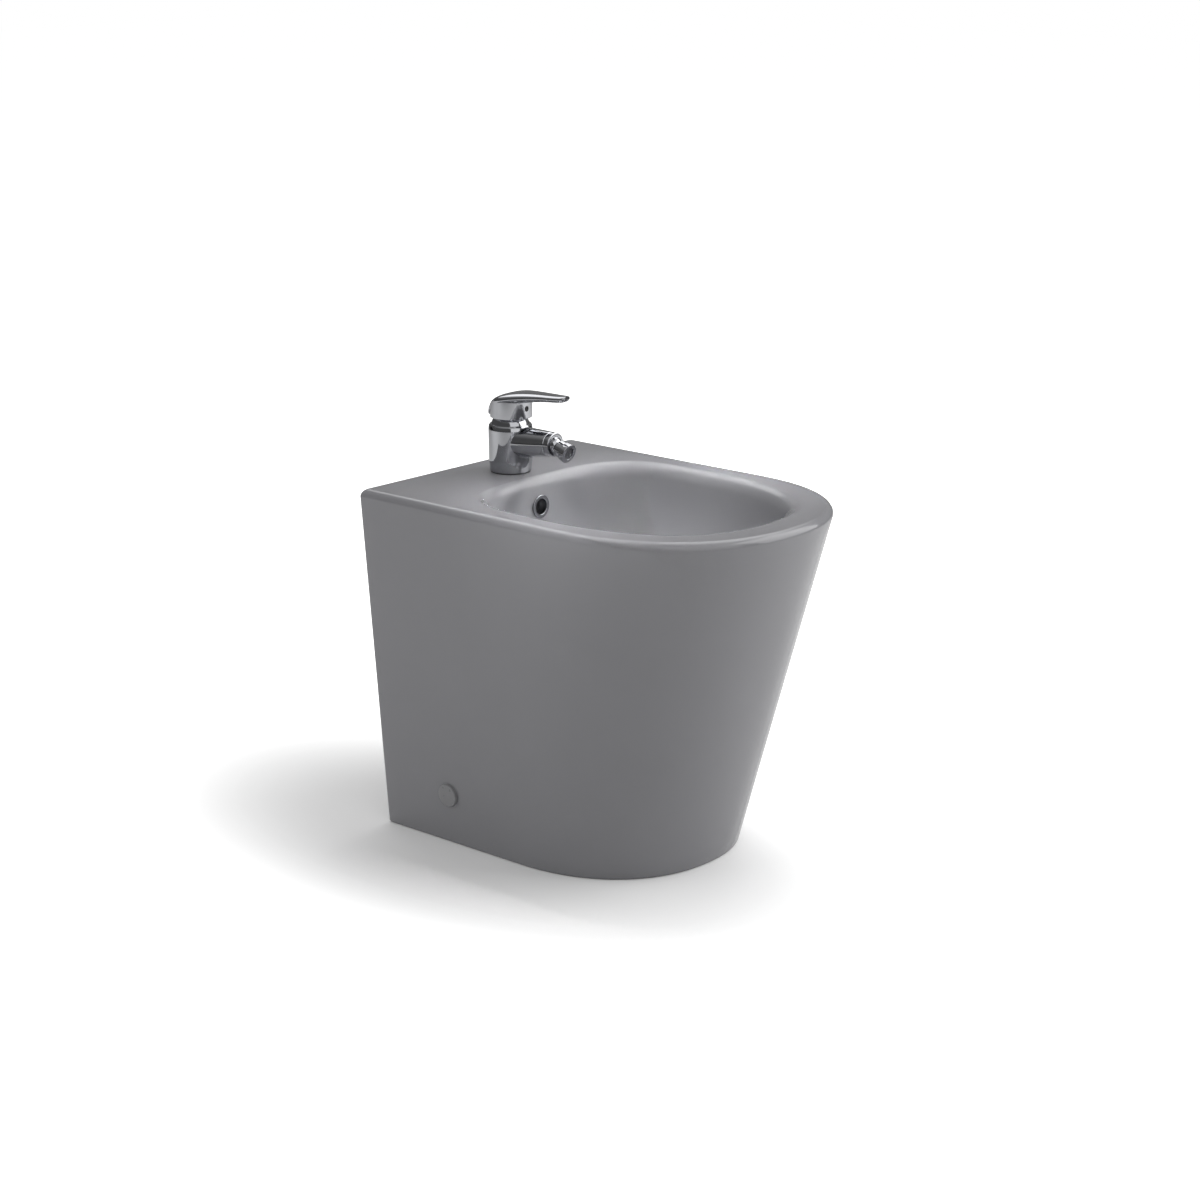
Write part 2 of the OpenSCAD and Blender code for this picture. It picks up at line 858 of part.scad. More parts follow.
module spout_collar() {
    low = seat_gap;
    inner_r = ball_r + seat_gap;
    from = -collar_sleeve_l - ball_out;
    to = collar_l - ball_out;
    color(chrome) at_spout_end() turned([
        for (i = [0:dome_steps])
            let (z = share_of(to, from, i / dome_steps))
            [sqrt(inner_r * inner_r - z * z), z + ball_out],
        [ball_seat_r - run_gap, -collar_sleeve_l], [ball_seat_r - run_gap, low],
        [collar_r, low], [collar_r, collar_l - collar_edge], [collar_r - collar_edge, collar_l]
    ]);
}

// Soft seat behind the ball
module ball_seal() {
    inner_r = ball_r + seat_gap;
    from = -ball_seat_depth - ball_out;
    color(black_rubber) at_spout_end() turned([
        for (i = [0:dome_steps])
            let (z = share_of(from + seal_l, from, i / dome_steps))
            [sqrt(inner_r * inner_r - z * z), z + ball_out],
        [ball_seat_r - run_gap, -ball_seat_depth], [ball_seat_r - run_gap, seal_l - ball_seat_depth]
    ]);
}

module nozzle() {
    color(chrome) at_nozzle() difference() {
        union() {
            sphere(ball_r);
            rod(nozzle_neck_r, 0, nozzle_cone_at + over);
            turned([
                [0, nozzle_cone_at], [nozzle_cone_r, nozzle_cone_at],
                [nozzle_tip_r, nozzle_l], [0, nozzle_l]
            ]);
        }
        rod(nozzle_bore_r, -ball_r - over, nozzle_l + over);
        rod(nozzle_socket_r, nozzle_l - nozzle_socket_l, nozzle_l + over);
    }
}

module aerator_washer() {
    low = nozzle_l + seat_gap / 2;
    color(black_rubber) at_nozzle() ring(nozzle_tip_r - run_gap, nozzle_socket_r, low, low + washer_t);
}

// Flow insert with its pattern of jets
module aerator_insert() {
    low = nozzle_l - nozzle_socket_l + run_gap;
    color(white_plastic) at_nozzle() difference() {
        rod(insert_r, low, low + insert_l);
        for (k = [1:2])
            for (a = [0:60 / k:359])
                rotate([0, 0, a]) translate([insert_pitch * k, 0, 0])
                    rod(insert_hole_r, low - over, low + insert_l + over);
        rod(insert_hole_r, low - over, low + insert_l + over);
    }
}

// End ring, screwed over the nozzle's tip
module aerator_ring() {
    low = nozzle_l + seat_gap + washer_t - aerator_l + aerator_lip;
    high = low + aerator_l;
    color(chrome) at_nozzle() turned([
        [nozzle_cone_r, low], [aerator_r - aerator_edge, low], [aerator_r, low + aerator_edge],
        [aerator_r, high - aerator_edge], [aerator_r - aerator_edge, high],
        [insert_r - run_gap, high], [insert_r - run_gap, high - aerator_lip],
        [nozzle_cone_r, high - aerator_lip]
    ]);
}

module fixing_stud() {
    top = tap_floor_z + stud_grip;
    color(steel) at_tap() translate([0, -stud_front, 0]) rod(stud_r - run_gap, top - stud_l, top);
}

// Horseshoe shape that slides round the stud and the water inlets
module horseshoe(low, high) {
    difference() {
        rod(saddle_r, low, high);
        translate([0, -stud_front, 0]) rod(stud_r + seat_gap, low - over, high + over);
        translate([-saddle_mouth_w / 2, -saddle_mouth_front, low - over])
            cube([saddle_mouth_w, saddle_r + saddle_mouth_front + over, high - low + 2 * over]);
    }
}

module saddle_rubber() {
    color(black_rubber) at_tap() horseshoe(-deck_t - saddle_rubber_t, -deck_t);
}

module saddle_plate() {
    top = -deck_t - saddle_rubber_t;
    color(steel) at_tap() horseshoe(top - saddle_t, top);
}

module stud_nut() {
    top = -deck_t - saddle_rubber_t - saddle_t;
    color(brass) at_tap() translate([0, -stud_front, top - stud_nut_t]) difference() {
        cylinder(r = stud_nut_r, h = stud_nut_t, $fn = 6);
        rod(stud_r, -over, stud_nut_t + over);
    }
}

module waste_body() {
    tube_top = waste_seal_t;
    bottom = flange_top - waste_l;
    color(chrome) at_drain() difference() {
        union() {
            difference() {
                union() {
                    turned([
                        [0, tube_top], [waste_flange_r, tube_top],
                        [waste_flange_r, flange_top - waste_flange_t / 2],
                        [waste_flange_r - waste_flange_t, flange_top], [0, flange_top]
                    ]);
                    rod(waste_tube_r, bottom, flange_top - waste_flange_t / 2);
                }
                rod(waste_bore_r, bottom - over, flange_top + over);
                translate([-slot_w / 2, -waste_tube_r - over, -slot_drop - slot_h / 2])
                    cube([slot_w, 2 * waste_tube_r + 2 * over, slot_h]);
            }
            rod(spider_hub_r, -spider_drop - spider_t, -spider_drop);
            for (i = [1:spider_arms])
                rotate([0, 0, 360 * i / spider_arms])
                    translate([0, -spider_arm_w / 2, -spider_drop - spider_t])
                        cube([(waste_bore_r + waste_tube_r) / 2, spider_arm_w, spider_t]);
        }
        rod(click_r + run_gap, -spider_drop - spider_t - over, over - spider_drop);
    }
}

module waste_top_seal() {
    color(black_rubber) at_drain() ring(waste_seal_r, drain_bore_r, 0, waste_seal_t);
}

module waste_lower_seal() {
    top = -drain_boss_h - seat_gap;
    color(black_rubber) at_drain() ring(lower_seal_r, waste_tube_r + run_gap, top - lower_seal_t, top);
}

module waste_backnut() {
    top = -drain_boss_h - 2 * seat_gap - lower_seal_t;
    color(white_plastic) at_drain() difference() {
        union() {
            rod(backnut_r, top - backnut_t, top);
            for (i = [1:backnut_wings])
                rotate([0, 0, 360 * i / backnut_wings])
                    translate([backnut_r - backnut_wing, -backnut_wing / 2, top - backnut_t])
                        cube([backnut_wing * 3 / 2, backnut_wing, backnut_t]);
        }
        rod(waste_tube_r + thread_gap, top - backnut_t - over, top + over);
    }
}

module click_cartridge() {
    color(brass) at_drain() difference() {
        union() {
            rod(click_r, click_bottom, click_top);
            rod(click_head_r, click_top - click_head_t, click_top);
        }
        rod(click_bore_r, click_bottom + click_floor_t, click_top - click_lip_t);
        rod(plug_stem_r + run_gap, click_bottom + click_floor_t, click_top + over);
    }
}

// Coil of the push spring, under the stem's piston
module click_spring() {
    low = click_bottom + click_floor_t + spring_wire_r + seat_gap;
    high = piston_top - plug_piston_t - spring_wire_r - seat_gap;
    last = spring_turns * spring_rings;
    color(steel) at_drain() loft_tube([
        for (k = [0:last])
            let (a = 360 * k / spring_rings)
            [spring_coil_r * cos(a), spring_coil_r * sin(a), share_of(low, high, k / last)]
    ]);
}

// Sweeps the spring's wire along the points of its coil
module loft_tube(points) {
    rise = (points[len(points) - 1].z - points[0].z) / (len(points) - 1);
    rings = [
        for (k = [0:len(points) - 1])
            let (
                p = points[k],
                out = [p.x, p.y, 0] / norm([p.x, p.y]),
                along = [-out.y, out.x, rise * spring_rings / (2 * PI * spring_coil_r)],
                up = cross(along / norm(along), out) * -1
            )
            [for (i = [0:spring_sides - 1])
                let (a = 360 * i / spring_sides)
                p + spring_wire_r * (out * cos(a) + up * sin(a))]
    ];
    loft(rings);
}

module plug_stem() {
    color(brass) at_drain() {
        rod(plug_stem_r, piston_top - plug_piston_t / 2, plug_rest - seat_gap);
        rod(plug_piston_r, piston_top - plug_piston_t, piston_top);
    }
}

module plug_cap() {
    edge = plug_cap_t / 2;
    color(chrome) at_drain() turned([
        [0, plug_rest - seat_gap], [plug_hub_r, plug_rest - seat_gap], [plug_hub_r, plug_rest],
        [plug_cap_r - edge, plug_rest], [plug_cap_r, plug_rest + edge],
        [plug_cap_r - edge, plug_rest + plug_cap_t],
        for (i = [1:dome_steps])
            let (a = 90 * i / dome_steps)
            [(plug_cap_r - edge) * cos(a), plug_rest + plug_cap_t + plug_cap_crown * sin(a)]
    ]);
}

module plug_seal() {
    low = plug_rest - plug_seal_t;
    color(black_rubber) at_drain() ring(plug_seal_r, plug_hub_r + run_gap, low, plug_rest);
}

// The trap's upright axis, with its foot on the floor
module at_trap() {
    translate([drain_at.x, drain_at.y, 0]) children();
}

// The outlet pipe's axis, from the trap's axis towards the wall
module at_outlet() {
    translate([drain_at.x, drain_at.y, outlet_z]) rotate([-90, 0, 0]) children();
}

// Ribbed union nut with its lip at the top
module union_nut(thread_r, low, high) {
    turned([
        [thread_r, low], [trap_nut_r, low], [trap_nut_r, high - trap_rib_r],
        [trap_nut_r - trap_rib_r, high], [pipe_r + seat_gap, high],
        [pipe_r + seat_gap, high - trap_nut_lip], [thread_r, high - trap_nut_lip]
    ]);
    for (i = [1:trap_nut_ribs])
        rotate([0, 0, 360 * i / trap_nut_ribs])
            translate([trap_nut_r, 0, 0]) rod(trap_rib_r, low, high - trap_nut_lip);
}

module tail_pipe() {
    color(white_plastic) at_trap() turned([
        [pipe_r - pipe_t, tail_bottom_z], [pipe_r, tail_bottom_z], [pipe_r, tail_flange_z],
        [tail_flange_r, tail_flange_z], [tail_flange_r, tail_flange_z + tail_flange_t],
        [pipe_r - pipe_t, tail_flange_z + tail_flange_t]
    ]);
}

module tail_washer() {
    low = tail_flange_z + tail_flange_t + seat_gap;
    color(black_rubber) at_trap() ring(tail_flange_r, pipe_r, low, low + tail_washer_t);
}

module tail_nut() {
    low = tail_flange_z - seat_gap - trap_nut_lip;
    high = waste_bottom_z + trap_nut_grip;
    color(white_plastic) at_trap() translate([0, 0, low + high]) mirror([0, 0, 1])
        union_nut(waste_tube_r + thread_gap, low, high);
}

module bottle_body() {
    roof_z = bottle_top_z - bottle_neck_l;
    bore_r = pipe_r + bottle_roof_t / 4;
    color(white_plastic) difference() {
        union() {
            at_trap() turned([
                [0, bottle_bottom_z], [bottle_r, bottle_bottom_z], [bottle_r, roof_z - bottle_roof_t],
                [bottle_r - bottle_roof_t, roof_z], [bottle_neck_r, roof_z],
                [bottle_neck_r, bottle_top_z], [0, bottle_top_z]
            ]);
            at_outlet() rod(bottle_neck_r, 0, neck_end_y);
        }
        at_trap() {
            rod(bottle_r - bottle_t, bottle_bottom_z - over, roof_z - bottle_roof_t);
            rod(bore_r, roof_z - bottle_roof_t - over, bottle_top_z + over);
        }
        at_outlet() rod(bore_r, 0, neck_end_y + over);
    }
}

module bottle_top_seal() {
    low = bottle_top_z + seat_gap;
    color(black_rubber) at_trap() ring(bottle_neck_r, pipe_r + run_gap, low, low + pipe_seal_l);
}

module bottle_top_nut() {
    low = bottle_top_z - bottle_neck_l + over;
    high = bottle_top_z + pipe_seal_l + 2 * seat_gap + trap_nut_lip;
    color(white_plastic) at_trap() union_nut(bottle_neck_r + thread_gap, low, high);
}

module bottle_cup() {
    ledge_z = bottle_bottom_z - cup_seal_t - 2 * seat_gap;
    inner_r = bottle_r - bottle_t - over;
    color(white_plastic) at_trap() {
        turned([
            [0, cup_bottom_z], [cup_r - cup_t, cup_bottom_z], [cup_r, cup_bottom_z + cup_t],
            [cup_r, cup_top_z], [bottle_r + thread_gap, cup_top_z], [bottle_r + thread_gap, ledge_z],
            [inner_r, ledge_z], [inner_r, cup_bottom_z + cup_t], [0, cup_bottom_z + cup_t]
        ]);
        for (i = [1:cup_grip_ribs])
            rotate([0, 0, 360 * i / cup_grip_ribs])
                translate([cup_r, 0, 0]) rod(trap_rib_r, cup_bottom_z + cup_t, cup_top_z - cup_t);
    }
}

module cup_seal() {
    high = bottle_bottom_z - seat_gap;
    color(black_rubber) at_trap() ring(bottle_r - run_gap, bottle_r - bottle_t, high - cup_seal_t, high);
}

// Outlet pipe, whose free end is a plain spigot behind a stop bead
module outlet_pipe() {
    low = neck_end_y - outlet_neck_l / 2;
    high = drain_y - outlet_wall_gap;
    bead = high - spigot_l;
    color(white_plastic) at_outlet() turned([
        [pipe_r - pipe_t, low], [pipe_r, low], [pipe_r, bead - bead_t - bead_h],
        [pipe_r + bead_h, bead - bead_t], [pipe_r + bead_h, bead], [pipe_r, bead],
        [pipe_r, high], [pipe_r - pipe_t, high]
    ]);
}

module outlet_seal() {
    low = neck_end_y + seat_gap;
    color(black_rubber) at_outlet() ring(bottle_neck_r, pipe_r + run_gap, low, low + pipe_seal_l);
}

module outlet_nut() {
    high = neck_end_y + pipe_seal_l + 2 * seat_gap + trap_nut_lip;
    color(white_plastic) at_outlet() union_nut(bottle_neck_r + thread_gap, high - pipe_nut_l, high);
}

// Angle bracket inside one side wall, screwed to the floor
module floor_bracket() {
    slope = tan(lean);
    upright_t = bracket_t / cos(lean);
    top = side_screw_z + bracket_top_over;
    gusset_top = side_screw_z - bracket_top_over;
    function face_x(z) = base_w / 2 + z * slope - (lug_t + sleeve_out + seat_gap) / cos(lean);
    toe_x = face_x(0) - bracket_l;
    translate([0, wall_y - side_screw_y, 0]) rotate([90, 0, 0]) {
        linear_extrude(bracket_w, center = true)
            polygon([
                [face_x(0), 0], [face_x(top), top], [face_x(top) - upright_t, top],
                [face_x(bracket_t) - upright_t, bracket_t], [toe_x, bracket_t], [toe_x, 0]
            ]);
        for (end = [-1, 1])
            translate([0, 0, end * (bracket_w - gusset_t) / 2])
                linear_extrude(gusset_t, center = true)
                    polygon([
                        [face_x(0), 0], [face_x(gusset_top), gusset_top],
                        [face_x(gusset_top) - 2 * upright_t, gusset_top],
                        [toe_x + bracket_t, bracket_t], [toe_x, 0]
                    ]);
    }
}

module bracket(side) {
    hole_x = base_w / 2 - lug_t - sleeve_out - bracket_hole_in;
    color(grey_nylon) difference() {
        if (side < 0) mirror([1, 0, 0]) floor_bracket();
        else floor_bracket();
        at_side(side) rod(side_screw_r + run_gap, -lug_t - bracket_l, 0);
        translate([side * hole_x, wall_y - side_screw_y, 0]) rod(bracket_hole_r, -over, bracket_t + over);
    }
}

module bracket_left() {
    bracket(-1);
}

module bracket_right() {
    bracket(1);
}

module screw_sleeve(side) {
    color(white_plastic) at_side(side) difference() {
        rod(side_hole_r - sleeve_wall_gap, -lug_t - sleeve_out, -run_gap);
        rod(sleeve_head_r, -sleeve_head_depth, over);
        rod(side_screw_r + side_screw_gap, -lug_t - sleeve_out - over, over);
    }
}

module screw_sleeve_left() {
    screw_sleeve(-1);
}

module screw_sleeve_right() {
    screw_sleeve(1);
}

module side_screw(side) {
    head = -sleeve_head_depth;
    color(steel) at_side(side) difference() {
        union() {
            rod(side_screw_r, head - side_screw_l, head);
            rod(side_head_r, head, head + side_head_t);
        }
        rod(hex_key_r, head + side_head_t - hex_key_depth, head + side_head_t + over);
    }
}

module side_screw_left() {
    side_screw(-1);
}

module side_screw_right() {
    side_screw(1);
}

module side_cap(side) {
    stub_r = sleeve_head_r - run_gap;
    color(ceramic_grey) at_side(side) turned([
        [stub_r - cap_stub_wall, -cap_stub_l], [stub_r, -cap_stub_l], [stub_r, run_gap],
        [side_cap_r, run_gap], [side_cap_r, cap_t - cap_edge], [side_cap_r - cap_edge, cap_t],
        [0, cap_t], [0, cap_t / 2], [stub_r - cap_stub_wall, cap_t / 2]
    ]);
}

module side_cap_left() {
    side_cap(-1);
}

module side_cap_right() {
    side_cap(1);
}

ceramic_body();
overflow_ring();
mixer_body();
base_gasket();
cartridge_housing();
fixed_disc();
moving_disc();
cartridge_rotor();
pivot_pin();
spindle();
cartridge_nut();
dome_cover();
lever_handle();
lever_screw();
indicator_plug();
spout_collar();
ball_seal();
nozzle();
aerator_washer();
aerator_insert();
aerator_ring();
fixing_stud();
saddle_rubber();
saddle_plate();
stud_nut();
waste_body();
waste_top_seal();
waste_lower_seal();
waste_backnut();
click_cartridge();
click_spring();
plug_stem();
plug_cap();
plug_seal();
tail_pipe();
tail_washer();
tail_nut();
bottle_body();
bottle_top_seal();
bottle_top_nut();
bottle_cup();
cup_seal();
outlet_pipe();
outlet_seal();
outlet_nut();
bracket_left();
bracket_right();
screw_sleeve_left();
screw_sleeve_right();
side_screw_left();
side_screw_right();
side_cap_left();
side_cap_right();
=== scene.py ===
import math

import bmesh
import bpy
from mathutils import Matrix, Vector


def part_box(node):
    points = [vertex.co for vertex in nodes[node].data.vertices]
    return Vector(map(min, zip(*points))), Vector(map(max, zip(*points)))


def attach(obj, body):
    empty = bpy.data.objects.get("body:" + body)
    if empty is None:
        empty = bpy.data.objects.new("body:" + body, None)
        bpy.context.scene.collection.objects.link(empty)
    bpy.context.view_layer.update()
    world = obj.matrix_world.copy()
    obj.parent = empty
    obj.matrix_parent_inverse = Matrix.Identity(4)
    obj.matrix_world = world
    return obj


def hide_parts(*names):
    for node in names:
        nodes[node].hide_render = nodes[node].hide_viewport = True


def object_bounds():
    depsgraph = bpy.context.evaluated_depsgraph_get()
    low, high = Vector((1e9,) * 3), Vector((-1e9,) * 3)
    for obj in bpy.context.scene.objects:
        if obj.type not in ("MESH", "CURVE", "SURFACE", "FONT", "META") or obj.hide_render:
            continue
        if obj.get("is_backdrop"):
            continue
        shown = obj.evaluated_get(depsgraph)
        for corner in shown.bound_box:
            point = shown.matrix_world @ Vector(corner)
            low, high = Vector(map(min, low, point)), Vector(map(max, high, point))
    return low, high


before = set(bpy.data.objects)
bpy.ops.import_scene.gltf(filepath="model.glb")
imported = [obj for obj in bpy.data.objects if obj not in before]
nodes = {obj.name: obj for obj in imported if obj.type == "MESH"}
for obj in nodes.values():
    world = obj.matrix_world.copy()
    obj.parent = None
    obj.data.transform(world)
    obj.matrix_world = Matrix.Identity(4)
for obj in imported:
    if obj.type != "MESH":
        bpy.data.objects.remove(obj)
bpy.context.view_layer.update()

MM = 0.001

# The camera stands where the photograph was taken from: in front of the nose, to the viewer's
# left of it, some 0.7 m above the rim and 2.9 m away. Place and lens come from a pinhole camera
# fitted to the photograph's wall edge, foot and rim.
azimuth, elevation = math.radians(-48.8), math.radians(15.82)
looked_at, camera_away = Vector((-0.0585, -0.01525, 0.3001)), 2.9455
back = Vector((
    math.sin(azimuth) * math.cos(elevation),
    -math.cos(azimuth) * math.cos(elevation),
    math.sin(elevation),
))
camera = bpy.data.objects.new("camera", bpy.data.cameras.new("camera"))
camera.data.sensor_width = 36
camera.data.lens = 79.82
camera.location = looked_at + back * camera_away
camera.rotation_euler = back.to_track_quat("Z", "Y").to_euler()
bpy.context.scene.collection.objects.link(camera)
bpy.context.scene.camera = camera

# The room is a plain studio. The world is white only behind the object: chrome and glaze mirror
# a dim room with a lighter ceiling and a lighter wall on the right, as in a real studio.
scene = bpy.context.scene
scene.view_settings.view_transform = "Standard"


def linear(code):
    """An sRGB hex value as linear red, green, blue and alpha."""
    parts = [int(code[i:i + 2], 16) / 255 for i in (0, 2, 4)]
    return [c / 12.92 if c <= 0.04045 else ((c + 0.055) / 1.055) ** 2.4 for c in parts] + [1.0]


def add_node(tree, kind, inputs=(), **settings):
    """Adds a node with its settings, and gives each named input a value or a link."""
    node = tree.nodes.new("ShaderNode" + kind)
    for name, value in settings.items():
        setattr(node, name, value)
    for name, value in dict(inputs).items():
        if isinstance(value, bpy.types.NodeSocket):
            tree.links.new(value, node.inputs[name])
        else:
            node.inputs[name].default_value = value
    return node


world = bpy.data.worlds.new("studio")
scene.world = world
world.use_nodes = True
tree = world.node_tree
tree.nodes.clear()
rays = add_node(tree, "LightPath")
toward = add_node(tree, "SeparateXYZ", {"Vector": add_node(tree, "TexCoord").outputs["Generated"]})
ceiling = add_node(tree, "MapRange", {
    "Value": toward.outputs["Z"], "From Min": 0.4, "From Max": 0.9, "To Min": 0.11, "To Max": 0.4,
}, interpolation_type="SMOOTHSTEP")
right_wall = add_node(tree, "MapRange", {
    "Value": toward.outputs["X"], "From Min": 0.1, "From Max": 0.65, "To Min": 0, "To Max": 0.22,
}, interpolation_type="SMOOTHSTEP")
room = add_node(tree, "Math", {0: ceiling.outputs[0], 1: right_wall.outputs[0]}, operation="MAXIMUM")
mirrored = add_node(tree, "Math", {0: rays.outputs["Is Glossy Ray"], 1: room.outputs[0]},
                    operation="MULTIPLY")
seen = add_node(tree, "Math", {0: rays.outputs["Is Camera Ray"], 1: rays.outputs["Is Transmission Ray"]},
                operation="MAXIMUM")
strength = add_node(tree, "Math", {0: seen.outputs[0], 1: mirrored.outputs[0]}, operation="MAXIMUM")
sky = add_node(tree, "Background", {"Color": linear("ffffff"), "Strength": strength.outputs[0]})
add_node(tree, "OutputWorld", {"Surface": sky.outputs[0]})

# The lamps are wide soft boxes round the object, each placed by its bearing from the nose and its
# height in degrees and by its reach in metres. The last three are small, with narrow beams that
# light the bowl alone. Chrome and glaze mirror only the lamps that are marked so.
BODY_AIM, BOWL_AIM = 0.2, 0.38
for name, bearing, height, reach, size, watts, spread, mirrors in (
    ("front_right", 45, 32, 2.6, 2.4, 50, 180, True),
    ("front_left", 338, 33, 2.6, 2.6, 23, 180, True),
    ("left", 270, 48, 2.6, 2.6, 10, 180, False),
    ("back_left", 225, 24, 2.6, 2.4, 29, 180, False),
    ("high_right", 60, 60, 2.6, 2.6, 16, 180, True),
    ("back_right", 135, 60, 2.6, 2.6, 35, 180, True),
    ("over_bowl", 0, 90, 1.2, 0.15, 0.2, 20, False),
    ("into_bowl_right", 61, 48, 1.6, 0.15, 0.36, 12, False),
    ("into_bowl_left", 299, 47, 1.5, 0.15, 0.19, 12, False),
):
    a, e = math.radians(bearing), math.radians(height)
    out = Vector((math.sin(a) * math.cos(e), -math.cos(a) * math.cos(e), math.sin(e)))
    lamp = bpy.data.objects.new(name, bpy.data.lights.new(name, "AREA"))
    lamp.data.shape = "SQUARE"
    lamp.data.size = size
    lamp.data.spread = math.radians(spread)
    lamp.data.energy = watts
    lamp.visible_glossy = mirrors
    lamp.location = Vector((0, 0, BOWL_AIM if spread < 180 else BODY_AIM)) + out * reach
    lamp.rotation_euler = out.to_track_quat("Z", "Y").to_euler()
    scene.collection.objects.link(lamp)

# The floor is a sheet of pale matt studio paper. It keeps the object's soft shadow, partly the
# lamps' shadow and partly painted shade, and turns to plain white away from it.
mesh = bmesh.new()
bmesh.ops.create_grid(mesh, x_segments=8, y_segments=8, size=12)
floor = bpy.data.objects.new("floor", bpy.data.meshes.new("floor"))
mesh.to_mesh(floor.data)
mesh.free()
scene.collection.objects.link(floor)


def new_material(name):
    """A new material, its node tree and its main shader."""
    made = bpy.data.materials.new(name)
    made.use_nodes = True
    return made, made.node_tree, made.node_tree.nodes["Principled BSDF"]


paper, tree, shader = new_material("matt_studio_paper")
shader.inputs["Roughness"].default_value = 1.0
shader.inputs["Specular IOR Level"].default_value = 0.0
place = add_node(tree, "TexCoord").outputs["Object"]
fibre = add_node(tree, "TexNoise", {"Vector": place, "Scale": 1 / (2 * MM), "Detail": 3})
white = add_node(tree, "MapRange", {"Value": fibre.outputs[0], "To Min": 0.79, "To Max": 0.81})
tree.links.new(white.outputs[0], shader.inputs["Base Color"])
# The white leaves out an oval round the foot, drawn towards the wall and the viewer's left. The
# darker floor left in that oval is painted shade, set where the object's shadow falls.
wide = add_node(tree, "VectorMath", {0: place, 1: (1.75, 1, 1)}, operation="MULTIPLY")
distance = add_node(tree, "VectorMath", {0: wide.outputs[0], 1: (-0.14, 0.13, 0)}, operation="DISTANCE")
white_outside_painted_shade = add_node(tree, "MapRange", {"Value": distance.outputs["Value"], "From Min": 0.22, "From Max": 0.82,
                                  "To Min": 0.02, "To Max": 1.0}, interpolation_type="SMOOTHSTEP")
lift = add_node(tree, "Math", {0: add_node(tree, "LightPath").outputs["Is Camera Ray"], 1: white_outside_painted_shade.outputs[0]},
                operation="MULTIPLY")
glow = add_node(tree, "Emission", {"Color": linear("ffffff"), "Strength": lift.outputs[0]})
both = add_node(tree, "AddShader", {0: shader.outputs[0], 1: glow.outputs[0]})
tree.links.new(both.outputs[0], tree.nodes["Material Output"].inputs["Surface"])
floor.data.materials.append(paper)
floor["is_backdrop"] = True

# The body is one hollow casting of vitreous china: a D-shaped pedestal with a flat deck, a
# deep bowl hung inside it and an overflow duct behind the bowl. It is slip-cast in plaster
# moulds, glazed and fired, which rounds every edge.
WALL_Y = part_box("ceramic_body")[1].y
BODY_H, RIM_W, RIM_L, FOOT_W, FOOT_L = 408, 357, 482, 288, 368
RIM_NOSE, FOOT_NOSE, NOSE_POWER, CORNER_R = 188, 158, 2.2, 5
EDGE_R, FOOT_R, WALL_T, DECK_T, LAND = 9, 3, 11, 13, 0.8
BOWL_W, BOWL_MID, BOWL_BACK, BOWL_FRONT, BOWL_DEEP = 301, 240, 106, 447, 150
PLAN_BACK_POWER, PLAN_FRONT_POWER, DEEP_BACK_POWER, DEEP_FRONT_POWER = 3.4, 2.45, 3.4, 2.3
LIP_R, LIP_BACK_R, SEAT_R, BORE_R, BOSS_R, BOSS_H = 16, 8, 34, 22, 37, 30
DRAIN_Y, SEAT_Z, OVERFLOW_Z, OVERFLOW_R = 225, 258, 373, 11
BORE_EDGE, BORE_EDGE_MID = 1.5, 0.4
HALF_POINTS, CORNER_POINTS, STRAIGHT_POINTS = 120, 9, 14
LEAN = math.atan((RIM_W - FOOT_W) / 2 / (BODY_H - EDGE_R))


def power_point(angle, wide, deep, power):
    """A point of a rounded box outline. A power of 2 is an oval, and a higher one is squarer."""
    c, s = math.cos(angle), math.sin(angle)
    k = (abs(c) ** power + abs(s) ** power) ** (1 / power)
    return wide * c / k, deep * s / k


def between(low, high, share):
    return low + (high - low) * share


def even_steps(low, high, count):
    return [between(low, high, i / count) for i in range(count + 1)]


def quarter(count):
    """Even steps through a quarter turn."""
    return [math.pi / 2 * i / count for i in range(count + 1)]


def body_outline(z, inset):
    """The body's outline at a height, drawn in by an inset, in millimetres from the wall."""
    share = min(1, max(0, z / (BODY_H - EDGE_R)))
    half = between(FOOT_W, RIM_W, share) / 2 - inset
    nose = between(FOOT_NOSE, RIM_NOSE, share) - inset
    middle = -between(FOOT_L, RIM_L, share) + nose + inset
    points = []
    for i in range(HALF_POINTS):
        x, y = power_point(math.pi * (1 + i / HALF_POINTS), half, nose, NOSE_POWER)
        points.append((x, middle + y))
    side = -inset - CORNER_R
    points += [(half, y) for y in even_steps(middle, side, STRAIGHT_POINTS)[:-1]]
    points += [(half - CORNER_R + CORNER_R * math.cos(a), side + CORNER_R * math.sin(a))
               for a in quarter(CORNER_POINTS - 1)]
    across = HALF_POINTS - 2 * (STRAIGHT_POINTS + CORNER_POINTS)
    reach = half - CORNER_R
    points += [(x, -inset) for x in even_steps(reach, -reach, across + 1)[1:-1]]
    points += [(-half + CORNER_R - CORNER_R * math.sin(a), side + CORNER_R * math.cos(a))
               for a in quarter(CORNER_POINTS - 1)]
    points += [(-half, y) for y in even_steps(side, middle, STRAIGHT_POINTS)[1:]]
    return [Vector((x * MM, WALL_Y + y * MM, z * MM)) for x, y in points]


def bowl_plan(angle, inset, back_inset):
    """A point of the bowl's plan, in millimetres from the wall."""
    behind = math.sin(angle) > 0
    deep = BOWL_MID - BOWL_BACK - back_inset if behind else BOWL_FRONT - BOWL_MID - inset
    power = PLAN_BACK_POWER if behind else PLAN_FRONT_POWER
    x, y = power_point(angle, BOWL_W / 2 - inset, deep, power)
    return x, y - BOWL_MID


def bowl_angles():
    return [math.pi * (1 + i / HALF_POINTS) for i in range(2 * HALF_POINTS)]


